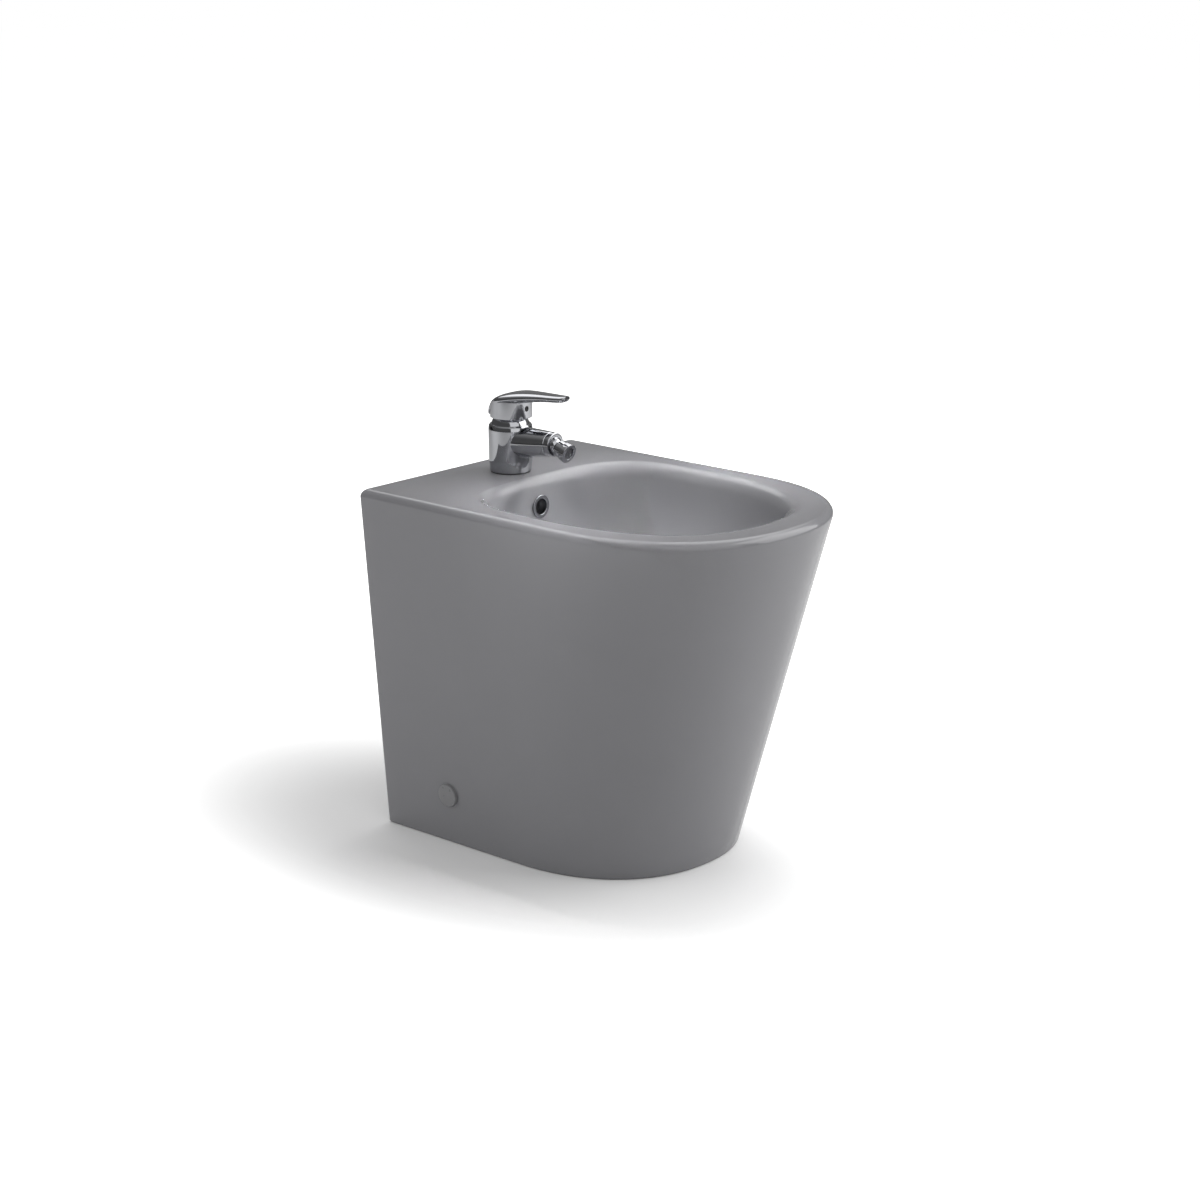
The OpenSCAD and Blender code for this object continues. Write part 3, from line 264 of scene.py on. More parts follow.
def lip_ring(turn, out=0):
    """A ring of the bowl's rounded lip, from the flat rim at 0 to the bowl's side."""
    drop = 1 - math.cos(turn)
    points = [bowl_plan(a, LIP_R * math.sin(turn) - out, LIP_BACK_R * math.sin(turn) - out)
              for a in bowl_angles()]
    return [Vector((x * MM, WALL_Y + y * MM, (BODY_H - LIP_R * drop) * MM)) for x, y in points]


def bowl_ring(turn, grow=0):
    """A ring of the bowl's inside, or of its outside where it has grown by the wall."""
    places = []
    for a in bowl_angles():
        x, y = bowl_plan(a, LIP_R - grow, LIP_BACK_R - grow)
        low_x, low_y = (SEAT_R + grow) * math.cos(a), (SEAT_R + grow) * math.sin(a) - DRAIN_Y
        power = between(DEEP_FRONT_POWER, DEEP_BACK_POWER, (1 + math.sin(a)) / 2)
        out, down = power_point(turn, 1, 1, power)
        z = BODY_H - LIP_R - (BOWL_DEEP - LIP_R + grow) * down
        places.append(Vector((
            between(low_x, x, out) * MM, WALL_Y + between(low_y, y, out) * MM, z * MM,
        )))
    return places


def drain_ring(r, z):
    """A ring of the drain's bore, or of the boss under it."""
    return [Vector((r * math.cos(a) * MM, WALL_Y + (r * math.sin(a) - DRAIN_Y) * MM, z * MM))
            for a in bowl_angles()]


def first_ring(bm, places):
    """Starts a skin with a circle of vertices set at the places."""
    ring = bmesh.ops.create_circle(bm, segments=len(places), radius=1)["verts"]
    for vert, place in zip(ring, places):
        vert.co = place
    return ring


def next_ring(bm, ring, places):
    """Extrudes the last ring of a skin and sets the new one at the places."""
    edges = [bm.edges.get((a, b)) for a, b in zip(ring, ring[1:] + ring[:1])]
    made = set(bmesh.ops.extrude_edge_only(bm, edges=edges)["geom"])
    fresh = [next(e.other_vert(v) for e in v.link_edges if e.other_vert(v) in made) for v in ring]
    for vert, place in zip(fresh, places):
        vert.co = place
    return fresh


def skin(rings, closed=False):
    """A mesh skinned over rings of places, its two ends filled unless it closes on itself."""
    bm = bmesh.new()
    ring = start = first_ring(bm, rings[0])
    for places in rings[1:]:
        ring = next_ring(bm, ring, places)
    if not closed:
        for end in (start, ring):
            bmesh.ops.contextual_create(bm, geom=end)
    bmesh.ops.remove_doubles(bm, verts=bm.verts, dist=1e-6)
    bmesh.ops.recalc_face_normals(bm, faces=bm.faces)
    return bm


def new_object(bm, name):
    made = bpy.data.objects.new(name, bpy.data.meshes.new(name))
    bm.to_mesh(made.data)
    bm.free()
    scene.collection.objects.link(made)
    return made


def carve(target, tool_mesh, operation="DIFFERENCE", solver="MANIFOLD"):
    """Joins a tool's mesh to a piece or takes it away, and keeps the result as the piece's mesh."""
    tool = new_object(tool_mesh, "tool")
    change = target.modifiers.new("change", "BOOLEAN")
    change.operation, change.object, change.solver = operation, tool, solver
    bpy.context.view_layer.update()
    made = bpy.data.meshes.new_from_object(target.evaluated_get(bpy.context.evaluated_depsgraph_get()))
    target.modifiers.clear()
    old, target.data = target.data, made
    bpy.data.meshes.remove(old)
    bpy.data.meshes.remove(tool.data)


def smooth(made, degrees=32):
    """Shades a piece smooth, with a crease wherever two faces meet at more than the angle."""
    bm = bmesh.new()
    bm.from_mesh(made.data)
    bmesh.ops.remove_doubles(bm, verts=bm.verts, dist=1e-6)
    bmesh.ops.dissolve_degenerate(bm, dist=1e-6, edges=bm.edges)
    for face in bm.faces:
        face.smooth = True
    for edge in bm.edges:
        edge.smooth = len(edge.link_faces) == 2 and edge.calc_face_angle() < math.radians(degrees)
    bm.to_mesh(made.data)
    bm.free()


def keep(made, body, material, slot, *stands_for, degrees=32):
    """Finishes a piece: shading, material, the CAD body it rides on and the nodes it stands for."""
    smooth(made, degrees)
    made.data.materials.clear()
    made.data.materials.append(material)
    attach(made, body)
    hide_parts(*stands_for)


def cylinder(r, low, high, matrix=Matrix(), sides=96):
    """A plain cylinder along Z from low to high, in millimetres, then moved by the matrix."""
    bm = bmesh.new()
    bmesh.ops.create_cone(bm, cap_ends=True, segments=sides, radius1=r * MM, radius2=r * MM,
                          depth=(high - low) * MM)
    bmesh.ops.translate(bm, verts=bm.verts, vec=(0, 0, (low + high) / 2 * MM))
    bmesh.ops.transform(bm, matrix=matrix, verts=bm.verts)
    return bm


def block(low, high, matrix=Matrix()):
    """A box between two corners, in millimetres, then moved by the matrix."""
    bm = bmesh.new()
    bmesh.ops.create_cube(bm, size=1)
    size = Vector(high) - Vector(low)
    bmesh.ops.scale(bm, verts=bm.verts, vec=size * MM)
    bmesh.ops.translate(bm, verts=bm.verts, vec=(Vector(high) + Vector(low)) / 2 * MM)
    bmesh.ops.transform(bm, matrix=matrix, verts=bm.verts)
    return bm


rings = [body_outline(FOOT_R * (1 - math.cos(a)), FOOT_R * (1 - math.sin(a))) for a in quarter(4)]
rings += [body_outline(z, 0) for z in even_steps(FOOT_R, BODY_H - EDGE_R, 20)[1:]]
rings += [body_outline(BODY_H - EDGE_R * (1 - math.sin(a)), EDGE_R * (1 - math.cos(a)))
          for a in quarter(8)[1:]]
rings += [body_outline(BODY_H, EDGE_R + LAND), lip_ring(0, LAND)]
rings += [lip_ring(a) for a in quarter(8)]
rings += [bowl_ring(a) for a in quarter(28)[1:]]
rings += [drain_ring(BORE_R + BORE_EDGE, SEAT_Z), drain_ring(BORE_R + BORE_EDGE_MID, SEAT_Z - BORE_EDGE_MID),
          drain_ring(BORE_R, SEAT_Z - BORE_EDGE), drain_ring(BORE_R, SEAT_Z - BOSS_H),
          drain_ring(BOSS_R, SEAT_Z - BOSS_H), drain_ring(BOSS_R, SEAT_Z - WALL_T - 1)]
rings += [bowl_ring(a, WALL_T) for a in reversed(quarter(20)[:-1])]
rings += [[Vector((p.x, p.y, (BODY_H - DECK_T) * MM)) for p in bowl_ring(0, WALL_T)]]
rings += [body_outline(z, WALL_T) for z in even_steps(BODY_H - DECK_T, 0, 10)]
rings += [rings[0]]
body = new_object(skin(rings, closed=True), "glazed_body")

# The overflow duct is a shaft down behind the bowl and a run forward to the waste's boss.
DUCT_HALF, DUCT_DEPTH, DUCT_T, DUCT_TOP, DUCT_LOW, RUN_H = 14, 9, 5, 385, 237, 10
SHAFT_MEETS_BOWL, RUN_MEETS_BOSS, RUN_MEETS_BORE = 105, 197, 212
at_wall = Matrix.Translation((0, WALL_Y, 0))
bowl_back_y = BOWL_BACK + LIP_BACK_R
duct_front = bowl_back_y - DUCT_T
duct_back = duct_front - DUCT_DEPTH
outer_half, outer_back = DUCT_HALF + DUCT_T, duct_back - DUCT_T
for front, low, top in (
    (SHAFT_MEETS_BOWL, DUCT_LOW - DUCT_T + 1, DUCT_TOP + DUCT_T),
    (RUN_MEETS_BOSS, DUCT_LOW - DUCT_T, DUCT_LOW + RUN_H + DUCT_T - 0.5),
):
    carve(body, block((-outer_half, -front, low), (outer_half, -outer_back, top), at_wall), "UNION")
for front, top in ((duct_front, DUCT_TOP), (RUN_MEETS_BORE, DUCT_LOW + RUN_H)):
    carve(body, block((-DUCT_HALF, -front, DUCT_LOW), (DUCT_HALF, -duct_back, top), at_wall))

# The side screws' lugs are cut off just above the floor. The long end points up on the right
# side and down on the left, as in the CAD.
SCREW_Y, SCREW_Z, SCREW_HOLE_R = 106, 60, 9
LUG_HALF, LUG_LONG, LUG_SHORT, LUG_IN, LUG_OUT, LUG_FLOOR = 16, 120, 74, 20, 5, 0.5


def side_place(side):
    """The middle of a side screw's hole, with Z square to the leaning wall and outwards."""
    x = side * (FOOT_W / 2 + SCREW_Z * math.tan(LEAN)) * MM
    return (Matrix.Translation((x, WALL_Y - SCREW_Y * MM, SCREW_Z * MM))
            @ Matrix.Rotation(side * (math.pi / 2 + LEAN), 4, "Y"))


for side in (-1, 1):
    lug = block((-LUG_LONG, -LUG_HALF, -LUG_IN), (LUG_SHORT, LUG_HALF, -LUG_OUT), side_place(side))
    bmesh.ops.bisect_plane(lug, geom=lug.verts[:] + lug.edges[:] + lug.faces[:], dist=1e-6,
                           plane_co=(0, 0, LUG_FLOOR * MM), plane_no=(0, 0, -1), clear_outer=True)
    bmesh.ops.holes_fill(lug, edges=lug.edges, sides=0)
    carve(body, lug, "UNION")
    carve(body, cylinder(SCREW_HOLE_R, -LUG_IN - 2, 3, side_place(side), 48))

# The back wall is open at the floor for the trap, and the deck and the bowl's back are pierced
# for the tap and the overflow.
GAP_W, GAP_H, GAP_R, TAP_Y, TAP_HOLE_R = 220, 255, 30, 68, 17.5
gap = block((-GAP_W / 2, -WALL_T - 2, -45), (GAP_W / 2, WALL_T + 2, GAP_H), at_wall)
upper = [e for e in gap.edges
         if all(v.co.z > 0.2 for v in e.verts) and abs(e.verts[0].co.x - e.verts[1].co.x) < 1e-4]
bmesh.ops.bevel(gap, geom=upper, offset=GAP_R * MM, segments=12, profile=0.5, affect="EDGES", material=-1)
carve(body, gap)
at_tap = Matrix.Translation((0, WALL_Y - TAP_Y * MM, BODY_H * MM))
carve(body, cylinder(TAP_HOLE_R, -DECK_T - 1, 2, at_tap))
bowl_back_face = (Matrix.Translation((0, WALL_Y - bowl_back_y * MM, OVERFLOW_Z * MM))
                  @ Matrix.Rotation(math.pi / 2, 4, "X"))
carve(body, cylinder(OVERFLOW_R, -DUCT_T - 1, 2, bowl_back_face, 64))

# Glazed vitreous china, grey all through the glaze: glossy, with the faint roll of a glaze that
# has flowed, a hardly seen mottling and a duller film where water has dried.
china, tree, shader = new_material("glazed_vitreous_china")
shader.inputs["IOR"].default_value = 1.5
place = add_node(tree, "TexCoord").outputs["Object"]
mottle = add_node(tree, "TexNoise", {"Vector": place, "Scale": 1 / (60 * MM), "Detail": 4})
tone = add_node(tree, "Mix", {"Factor": mottle.outputs[0], "A": linear("7b7b7e"), "B": linear("7e7e81")},
                data_type="RGBA")
tree.links.new(tone.outputs["Result"], shader.inputs["Base Color"])
film = add_node(tree, "TexNoise", {"Vector": place, "Scale": 1 / (18 * MM), "Detail": 3})
dull = add_node(tree, "MapRange", {"Value": film.outputs[0], "From Min": 0.3, "From Max": 0.7,
                                   "To Min": 0.09, "To Max": 0.14})
tree.links.new(dull.outputs[0], shader.inputs["Roughness"])
roll = add_node(tree, "TexNoise", {"Vector": place, "Scale": 1 / (9 * MM), "Detail": 2})
bump = add_node(tree, "Bump", {"Height": roll.outputs[0], "Strength": 0.3, "Distance": 0.04 * MM})
tree.links.new(bump.outputs[0], shader.inputs["Normal"])
keep(body, "bidet", china, "ceramic", "ceramic_body", degrees=40)

# Chrome plating on cast and turned brass: a mirror with a faint bluish cast, hardly dulled by a
# film of dried water that comes and goes over a centimetre or so.
chrome, tree, shader = new_material("chrome_plated_brass")
shader.inputs["Metallic"].default_value = 1.0
place = add_node(tree, "TexCoord").outputs["Object"]
film = add_node(tree, "TexNoise", {"Vector": place, "Scale": 1 / (12 * MM), "Detail": 3})
dull = add_node(tree, "MapRange", {"Value": film.outputs[0], "From Min": 0.35, "From Max": 0.7,
                                   "To Min": 0.035, "To Max": 0.075})
tree.links.new(dull.outputs[0], shader.inputs["Roughness"])
tone = add_node(tree, "Mix", {"Factor": film.outputs[0], "A": linear("a9aaae"), "B": linear("b4b5b8")},
                data_type="RGBA")
tree.links.new(tone.outputs["Result"], shader.inputs["Base Color"])

# The mixer's body is one brass casting with its spout, turned and polished outside, bored for
# the cartridge and the ball joint, and chrome plated. It stands on the deck on a rubber gasket.
GASKET_T, TAP_FOOT_R, TAP_R, TAP_TOP, TAP_HOLLOW_R, TAP_HOLLOW_H = 1.5, 24, 25.5, 56.5, 17, 10
CARTRIDGE_R, CARTRIDGE_LOW, RING_NUT_R, RING_NUT_LOW = 17.6, 20, 19.5, 44
REACH, SPOUT_START, SPOUT_TOP, SPOUT_ROOT_R, SPOUT_END_R, SPOUT_TAPER = 63, 12, 54.9, 19.8, 14.3, 1.15
BALL_SEAT_R, BALL_SEAT_DEEP, COLLAR_BORE_R, COLLAR_BORE_DEEP, END_ROUND = 8.4, 9.5, 11.6, 5, 1.4
INLET_R, INLET_X, INLET_Y, INLET_LOW, INLET_TOP = 5, 8, 3, 8, 21
SPOUT_SIDES = 96


def rounded(corners, steps=6):
    """A profile of (radius, height, rounding) corners with each rounded corner made an arc."""
    points = []
    for i, (r, z, rounding) in enumerate(corners):
        here = Vector((r, z))
        if not rounding:
            points.append(here)
            continue
        last = (Vector(corners[i - 1][:2]) - here).normalized()
        following = (Vector(corners[(i + 1) % len(corners)][:2]) - here).normalized()
        half = last.angle(following) / 2
        middle = here + (last + following).normalized() * rounding / math.sin(half)
        start = here + last * rounding / math.tan(half) - middle
        end = here + following * rounding / math.tan(half) - middle
        points += [middle + start.slerp(end, k / steps) * rounding for k in range(steps + 1)]
    return points


def turned(profile, matrix, closed=True, sides=96):
    """A turned piece from its profile of radii and heights, in millimetres, then moved."""
    angles = [2 * math.pi * i / sides for i in range(sides)]
    rings = [[matrix @ Vector((r * math.cos(a) * MM, r * math.sin(a) * MM, z * MM)) for a in angles]
             for r, z in profile]
    return skin(rings + rings[:1] if closed else rings, closed)


def spout_ring(share, draw_in=0):
    """A ring of the spout at a share of its reach, its top held level."""
    r = between(SPOUT_ROOT_R, SPOUT_END_R, share ** SPOUT_TAPER)
    angles = [2 * math.pi * i / SPOUT_SIDES for i in range(SPOUT_SIDES)]
    return [at_tap @ Vector(((r - draw_in) * math.cos(a) * MM, -REACH * share * MM,
                             (SPOUT_TOP - r + (r - draw_in) * math.sin(a)) * MM)) for a in angles]


mixer = new_object(turned(rounded([
    (0, GASKET_T, 0), (TAP_FOOT_R, GASKET_T, 0.8), (25.2, 14, 30), (TAP_R, 50.5, 4), (24.9, 54.7, 1.2),
    (23.6, TAP_TOP, 0.5), (0, TAP_TOP, 0),
]), at_tap, closed=False), "mixer_body_cast")
spout_rings = [spout_ring(y / REACH) for y in even_steps(SPOUT_START, REACH - END_ROUND, 24)]
spout_rings += [spout_ring(1 - END_ROUND * (1 - math.sin(a)) / REACH, END_ROUND * (1 - math.cos(a)))
                for a in quarter(6)[1:]]
carve(mixer, skin(spout_rings), "UNION")
spout_axis_z = SPOUT_TOP - SPOUT_END_R
spout_end = (at_tap @ Matrix.Translation((0, -REACH * MM, spout_axis_z * MM))
             @ Matrix.Rotation(math.pi / 2, 4, "X"))
carve(mixer, cylinder(TAP_HOLLOW_R, 0, TAP_HOLLOW_H, at_tap))
carve(mixer, turned([
    (0, CARTRIDGE_LOW), (CARTRIDGE_R, CARTRIDGE_LOW), (CARTRIDGE_R, RING_NUT_LOW),
    (RING_NUT_R, RING_NUT_LOW), (RING_NUT_R, TAP_TOP + 1), (0, TAP_TOP + 1),
], at_tap, closed=False))
carve(mixer, turned([
    (0, -BALL_SEAT_DEEP), (BALL_SEAT_R, -BALL_SEAT_DEEP), (BALL_SEAT_R, -COLLAR_BORE_DEEP),
    (COLLAR_BORE_R, -COLLAR_BORE_DEEP), (COLLAR_BORE_R, 1), (0, 1),
], spout_end, closed=False, sides=64))
for side in (-1, 1):
    at_inlet = at_tap @ Matrix.Translation((INLET_X * side * MM, INLET_Y * MM, 0))
    carve(mixer, cylinder(INLET_R, INLET_LOW, INLET_TOP, at_inlet, 48))
keep(mixer, "bidet", chrome, "chrome", "mixer_body")

# A thin spun cover of chromed brass closes the top of the body round the lever's pivot. The
# lever's skirt rides over its ball shape.
PIVOT_Z, COVER_R, COVER_T, COVER_OPEN = 52, 22.4, 1.5, 15.2
SLEEVE_R, SLEEVE_T, SLEEVE_DROP = 19.42, 1.7, 1.6
foot = math.asin((TAP_TOP - PIVOT_Z) / COVER_R)
outside = [(COVER_R * math.cos(a), PIVOT_Z + COVER_R * math.sin(a))
           for a in even_steps(foot, math.acos(COVER_OPEN / COVER_R), 24)]
rim = math.acos(COVER_OPEN / (COVER_R - COVER_T))
root = math.asin((TAP_TOP + COVER_T - PIVOT_Z) / (COVER_R - COVER_T))
inside = [((COVER_R - COVER_T) * math.cos(a), PIVOT_Z + (COVER_R - COVER_T) * math.sin(a))
          for a in even_steps(rim, root, 24)]
cover = new_object(turned(outside + inside + [
    (SLEEVE_R - SLEEVE_T, TAP_TOP + COVER_T), (SLEEVE_R - SLEEVE_T, TAP_TOP - SLEEVE_DROP),
    (SLEEVE_R, TAP_TOP - SLEEVE_DROP), (SLEEVE_R, TAP_TOP),
], at_tap), "dome_cover_spun")
keep(cover, "bidet", chrome, "chrome", "dome_cover")

# The lever is die-cast, polished and chrome plated: a deep round skirt that narrows into a long
# hood, which bows over the top and thins to its tip.
REACH_TIP, BACK_Y, BACK_Z, BACK_RISE, TIP_Z, TIP_DROP, TIP_RUN = 88, 21.7, 65.5, 36.4, 99, 2.7, 59.3
AT_SHARES = [0, 0.03, 0.08, 0.15, 0.23, 0.32, 0.41, 0.5, 0.6, 0.7, 0.8, 0.88, 0.94, 0.98, 1]
WIDE_SHARES = [0.55, 0.69, 0.73, 0.75, 0.82, 0.94, 1, 0.94, 0.80, 0.65, 0.53, 0.46, 0.40, 0.31, 0.16]
THICK_SHARES = [0.38, 0.56, 0.64, 0.72, 0.8, 0.93, 1, 1, 0.95, 0.84, 0.71, 0.63, 0.59, 0.5, 0.28]
HOOD_W, HOOD_T, HOOD_POWER, HOOD_COVER = 50, 13.5, 2.5, 4.5
LEVER_R, AHEAD, SKIRT_Z, SKIRT_EDGE, BLANK_TOP, BLANK_HALF = 24.4, 1.4, 64.5, 0.6, 102, 26
HOLLOW_GAP, HUB_R, HUB_LOW, HUB_TOP = 1.2, 8, 66, 78
SPINDLE_HALF, SOCKET_HALF, SOCKET_LOW, SOCKET_TOP = 3.5, 3.58, 60, 82.3
GRUB_Z, GRUB_R, GRUB_PLUG_R, GRUB_PLUG_LOW, PAST_SKIRT = 76.3, 2.5, 3.28, 20.1, 25
HOOD_SIDES, HOOD_STEPS = 56, 72


def eased(t, shares):
    """A smooth curve through a table of shares, read at t."""
    k = max(i for i in range(len(AT_SHARES) - 1) if AT_SHARES[i] <= t)
    low, high = AT_SHARES[k], AT_SHARES[k + 1]

    def slope(i):
        a, b = max(0, i - 1), min(len(shares) - 1, i + 1)
        return (shares[b] - shares[a]) / (AT_SHARES[b] - AT_SHARES[a])

    s = (t - low) / (high - low)
    return (shares[k] * (1 + 2 * s) * (1 - s) ** 2 + shares[k + 1] * s * s * (3 - 2 * s)
            + (high - low) * (slope(k) * s * (1 - s) ** 2 - slope(k + 1) * s * s * (1 - s)))


def hood_point(t):
    """The hood's top line from the back of the skirt to the tip, as y and z above the deck."""
    u = 1 - t
    weights = (u ** 3, 3 * u * u * t, 3 * u * t * t, t ** 3)
    ys = (BACK_Y, BACK_Y, TIP_RUN - REACH_TIP, -REACH_TIP)
    zs = (BACK_Z, BACK_Z + BACK_RISE, TIP_Z - TIP_DROP, TIP_Z)
    return Vector((sum(w * y for w, y in zip(weights, ys)), sum(w * z for w, z in zip(weights, zs))))


def hood_inward(t):
    """The direction square to the hood's top line, into the metal."""
    along = hood_point(min(1, t + 0.01)) - hood_point(max(0, t - 0.01))
    return Vector((-along.y, along.x)).normalized()


def hood_ring(t):
    """A rounded section across the hood, hung below its top line."""
    inward, thick = hood_inward(t), HOOD_T * eased(t, THICK_SHARES) / 2
    middle = hood_point(t) + inward * thick
    ring = []
    for i in range(HOOD_SIDES):
        turn = 2 * math.pi * i / HOOD_SIDES
        x, down = power_point(turn, HOOD_W * eased(t, WIDE_SHARES) / 2, thick, HOOD_POWER)
        y, z = middle - inward * down
        ring.append(at_tap @ Vector((x * MM, y * MM, z * MM)))
    return ring


steps = [between(math.sin(math.pi / 2 * i / HOOD_STEPS) ** 2, i / HOOD_STEPS, 0.5)
         for i in range(HOOD_STEPS + 1)]
hood = skin([hood_ring(t) for t in steps])
lever = new_object(turned(rounded([
    (0, SKIRT_Z, 0), (LEVER_R, SKIRT_Z, SKIRT_EDGE), (LEVER_R, BLANK_TOP, 0), (0, BLANK_TOP, 0),
]), at_tap @ Matrix.Translation((0, -AHEAD * MM, 0)), closed=False), "lever_cast")
under_line = [hood_point(t) + hood_inward(t) * HOOD_COVER for t in steps]
under_line += [Vector((-REACH_TIP, SKIRT_Z - 1)), Vector((BACK_Y, SKIRT_Z - 1))]
side_cut = skin([[at_tap @ Vector((x * MM, p.x * MM, p.y * MM)) for p in under_line]
                 for x in (-BLANK_HALF, BLANK_HALF)])
# The MANIFOLD solver refuses the lever, so it is cut with the EXACT one, whose result varies a
# little from run to run.
carve(lever, side_cut, "INTERSECT", "EXACT")
carve(lever, hood, "UNION", "EXACT")
hollow = bmesh.new()
bmesh.ops.create_uvsphere(hollow, u_segments=64, v_segments=40, radius=(COVER_R + HOLLOW_GAP) * MM)
bmesh.ops.translate(hollow, verts=hollow.verts, vec=(0, 0, PIVOT_Z * MM))
bmesh.ops.transform(hollow, matrix=at_tap, verts=hollow.verts)
carve(lever, hollow, solver="EXACT")
carve(lever, cylinder(HUB_R, HUB_LOW, HUB_TOP, at_tap, 64), "UNION", "EXACT")
socket = block((-SOCKET_HALF, -SOCKET_HALF, SOCKET_LOW), (SOCKET_HALF, SOCKET_HALF, SOCKET_TOP), at_tap)
carve(lever, socket, solver="EXACT")
grub_line = (at_tap @ Matrix.Translation((0, -SPINDLE_HALF * MM, GRUB_Z * MM))
             @ Matrix.Rotation(math.pi / 2, 4, "X"))
carve(lever, cylinder(GRUB_R, -1, PAST_SKIRT, grub_line, 48), solver="EXACT")
carve(lever, cylinder(GRUB_PLUG_R, GRUB_PLUG_LOW, PAST_SKIRT, grub_line, 48), solver="EXACT")
keep(lever, "lever", chrome, "chrome", "lever_handle")

# The indicator plug is a small disc of dark moulded ABS. It is pressed into the front of the
# skirt, where it hides the grub screw.
dark, tree, shader = new_material("dark_moulded_abs")
shader.inputs["Roughness"].default_value = 0.35
grain = add_node(tree, "TexNoise", {"Vector": add_node(tree, "TexCoord").outputs["Object"],
                                    "Scale": 1 / (0.6 * MM), "Detail": 2})
tone = add_node(tree, "Mix", {"Factor": grain.outputs[0], "A": linear("141416"), "B": linear("232326")},
                data_type="RGBA")
tree.links.new(tone.outputs["Result"], shader.inputs["Base Color"])
DISC_R, DISC_TOP, DISC_EDGE = 3.2, 21.3, 0.4
plug = new_object(turned(rounded([
    (0, GRUB_PLUG_LOW, 0), (DISC_R, GRUB_PLUG_LOW, 0), (DISC_R, DISC_TOP, DISC_EDGE), (0, DISC_TOP, 0),
]), grub_line, closed=False, sides=48), "indicator_disc")
keep(plug, "lever", dark, "dark_plastic", "indicator_plug")

# The ball joint is turned brass, chrome plated: a screwed collar holds the ball against its
# seat, and the nozzle is one turned piece with the ball.
BALL_R, BALL_AHEAD, CUP_R, CUP_FRONT, CUP_BACK = 10, 4, 10.3, 3, -5.6
THREAD_R, THREAD_LOW, COLLAR_R, COLLAR_LOW, COLLAR_EDGE = 11.52, -1.6, 13.8, 0.3, 1.4
cup = [(math.sqrt(CUP_R ** 2 - z * z), z + BALL_AHEAD) for z in even_steps(CUP_FRONT, CUP_BACK, 20)]
mouth_r, mouth_z = cup[0]
collar_outside = rounded([(THREAD_R, COLLAR_LOW, 0), (COLLAR_R, COLLAR_LOW, 0.3),
                          (COLLAR_R, mouth_z, COLLAR_EDGE), (mouth_r, mouth_z, 0)])[1:-1]
collar = new_object(turned(
    cup + [(THREAD_R, THREAD_LOW), (THREAD_R, COLLAR_LOW)] + collar_outside, spout_end,
), "spout_collar_turned")
keep(collar, "bidet", chrome, "chrome", "spout_collar")
NOZZLE_DROP, WATERWAY_R, NECK_R, SHOULDER_R, SHOULDER_Z = 18, 5, 6.5, 10.3, 9.6
NOZZLE_END_R, NOZZLE_END, INSERT_R, INSERT_LOW = 9.3, 22, 7.6, 16
ball = at_tap @ Matrix.Translation((0, -(REACH + BALL_AHEAD) * MM, spout_axis_z * MM))
at_nozzle = ball @ Matrix.Rotation(math.radians(90 + NOZZLE_DROP), 4, "X")
low_turn, high_turn = -math.acos(WATERWAY_R / BALL_R), math.acos(NECK_R / BALL_R)
nozzle_profile = [(BALL_R * math.cos(a), BALL_R * math.sin(a)) for a in even_steps(low_turn, high_turn, 28)]
nozzle_profile += rounded([
    (NECK_R, 8, 0), (NECK_R, SHOULDER_Z, 0.5), (SHOULDER_R, SHOULDER_Z, 0.7),
    (NOZZLE_END_R, NOZZLE_END, 0.3), (INSERT_R, NOZZLE_END, 0), (INSERT_R, INSERT_LOW, 0),
    (WATERWAY_R, INSERT_LOW, 0), (WATERWAY_R, 0, 0),
])
nozzle = new_object(turned(nozzle_profile, at_nozzle), "nozzle_turned")
keep(nozzle, "nozzle", chrome, "chrome", "nozzle")
RING_BORE_R, RING_R, RING_LOW, RING_TOP, RING_LIP_R, RING_LIP_LOW = 10.3, 11.5, 17.7, 24.7, 7.22, 23.3
ring_profile = rounded([
    (RING_BORE_R, RING_LOW, 0), (RING_R, RING_LOW, 0.6), (RING_R, RING_TOP, 0.6),
    (RING_LIP_R, RING_TOP, 0.4), (RING_LIP_R, RING_LIP_LOW, 0), (RING_BORE_R, RING_LIP_LOW, 0),
])
end_ring = new_object(turned(ring_profile, at_nozzle), "aerator_ring_turned")
keep(end_ring, "nozzle", chrome, "chrome", "aerator_ring")

# The overflow's trim ring is turned brass, chrome plated, with a sleeve that is pushed into the
# hole in the bowl's back.
TRIM_BORE_R, TRIM_SLEEVE_R, TRIM_R, TRIM_T, TRIM_DEEP, TRIM_GAP = 9.2, 10.7, 13.6, 1.6, 9, 0.3
trim_profile = rounded([
    (TRIM_BORE_R, -TRIM_DEEP, 0), (TRIM_SLEEVE_R, -TRIM_DEEP, 0), (TRIM_SLEEVE_R, 0, 0),
    (TRIM_R, 0, 0), (TRIM_R, TRIM_T, 0.8), (TRIM_BORE_R, TRIM_T, 0.7),
])
at_trim = bowl_back_face @ Matrix.Translation((0, 0, TRIM_GAP * MM))
trim = new_object(turned(trim_profile, at_trim), "overflow_trim")
keep(trim, "bidet", chrome, "chrome", "overflow_ring")

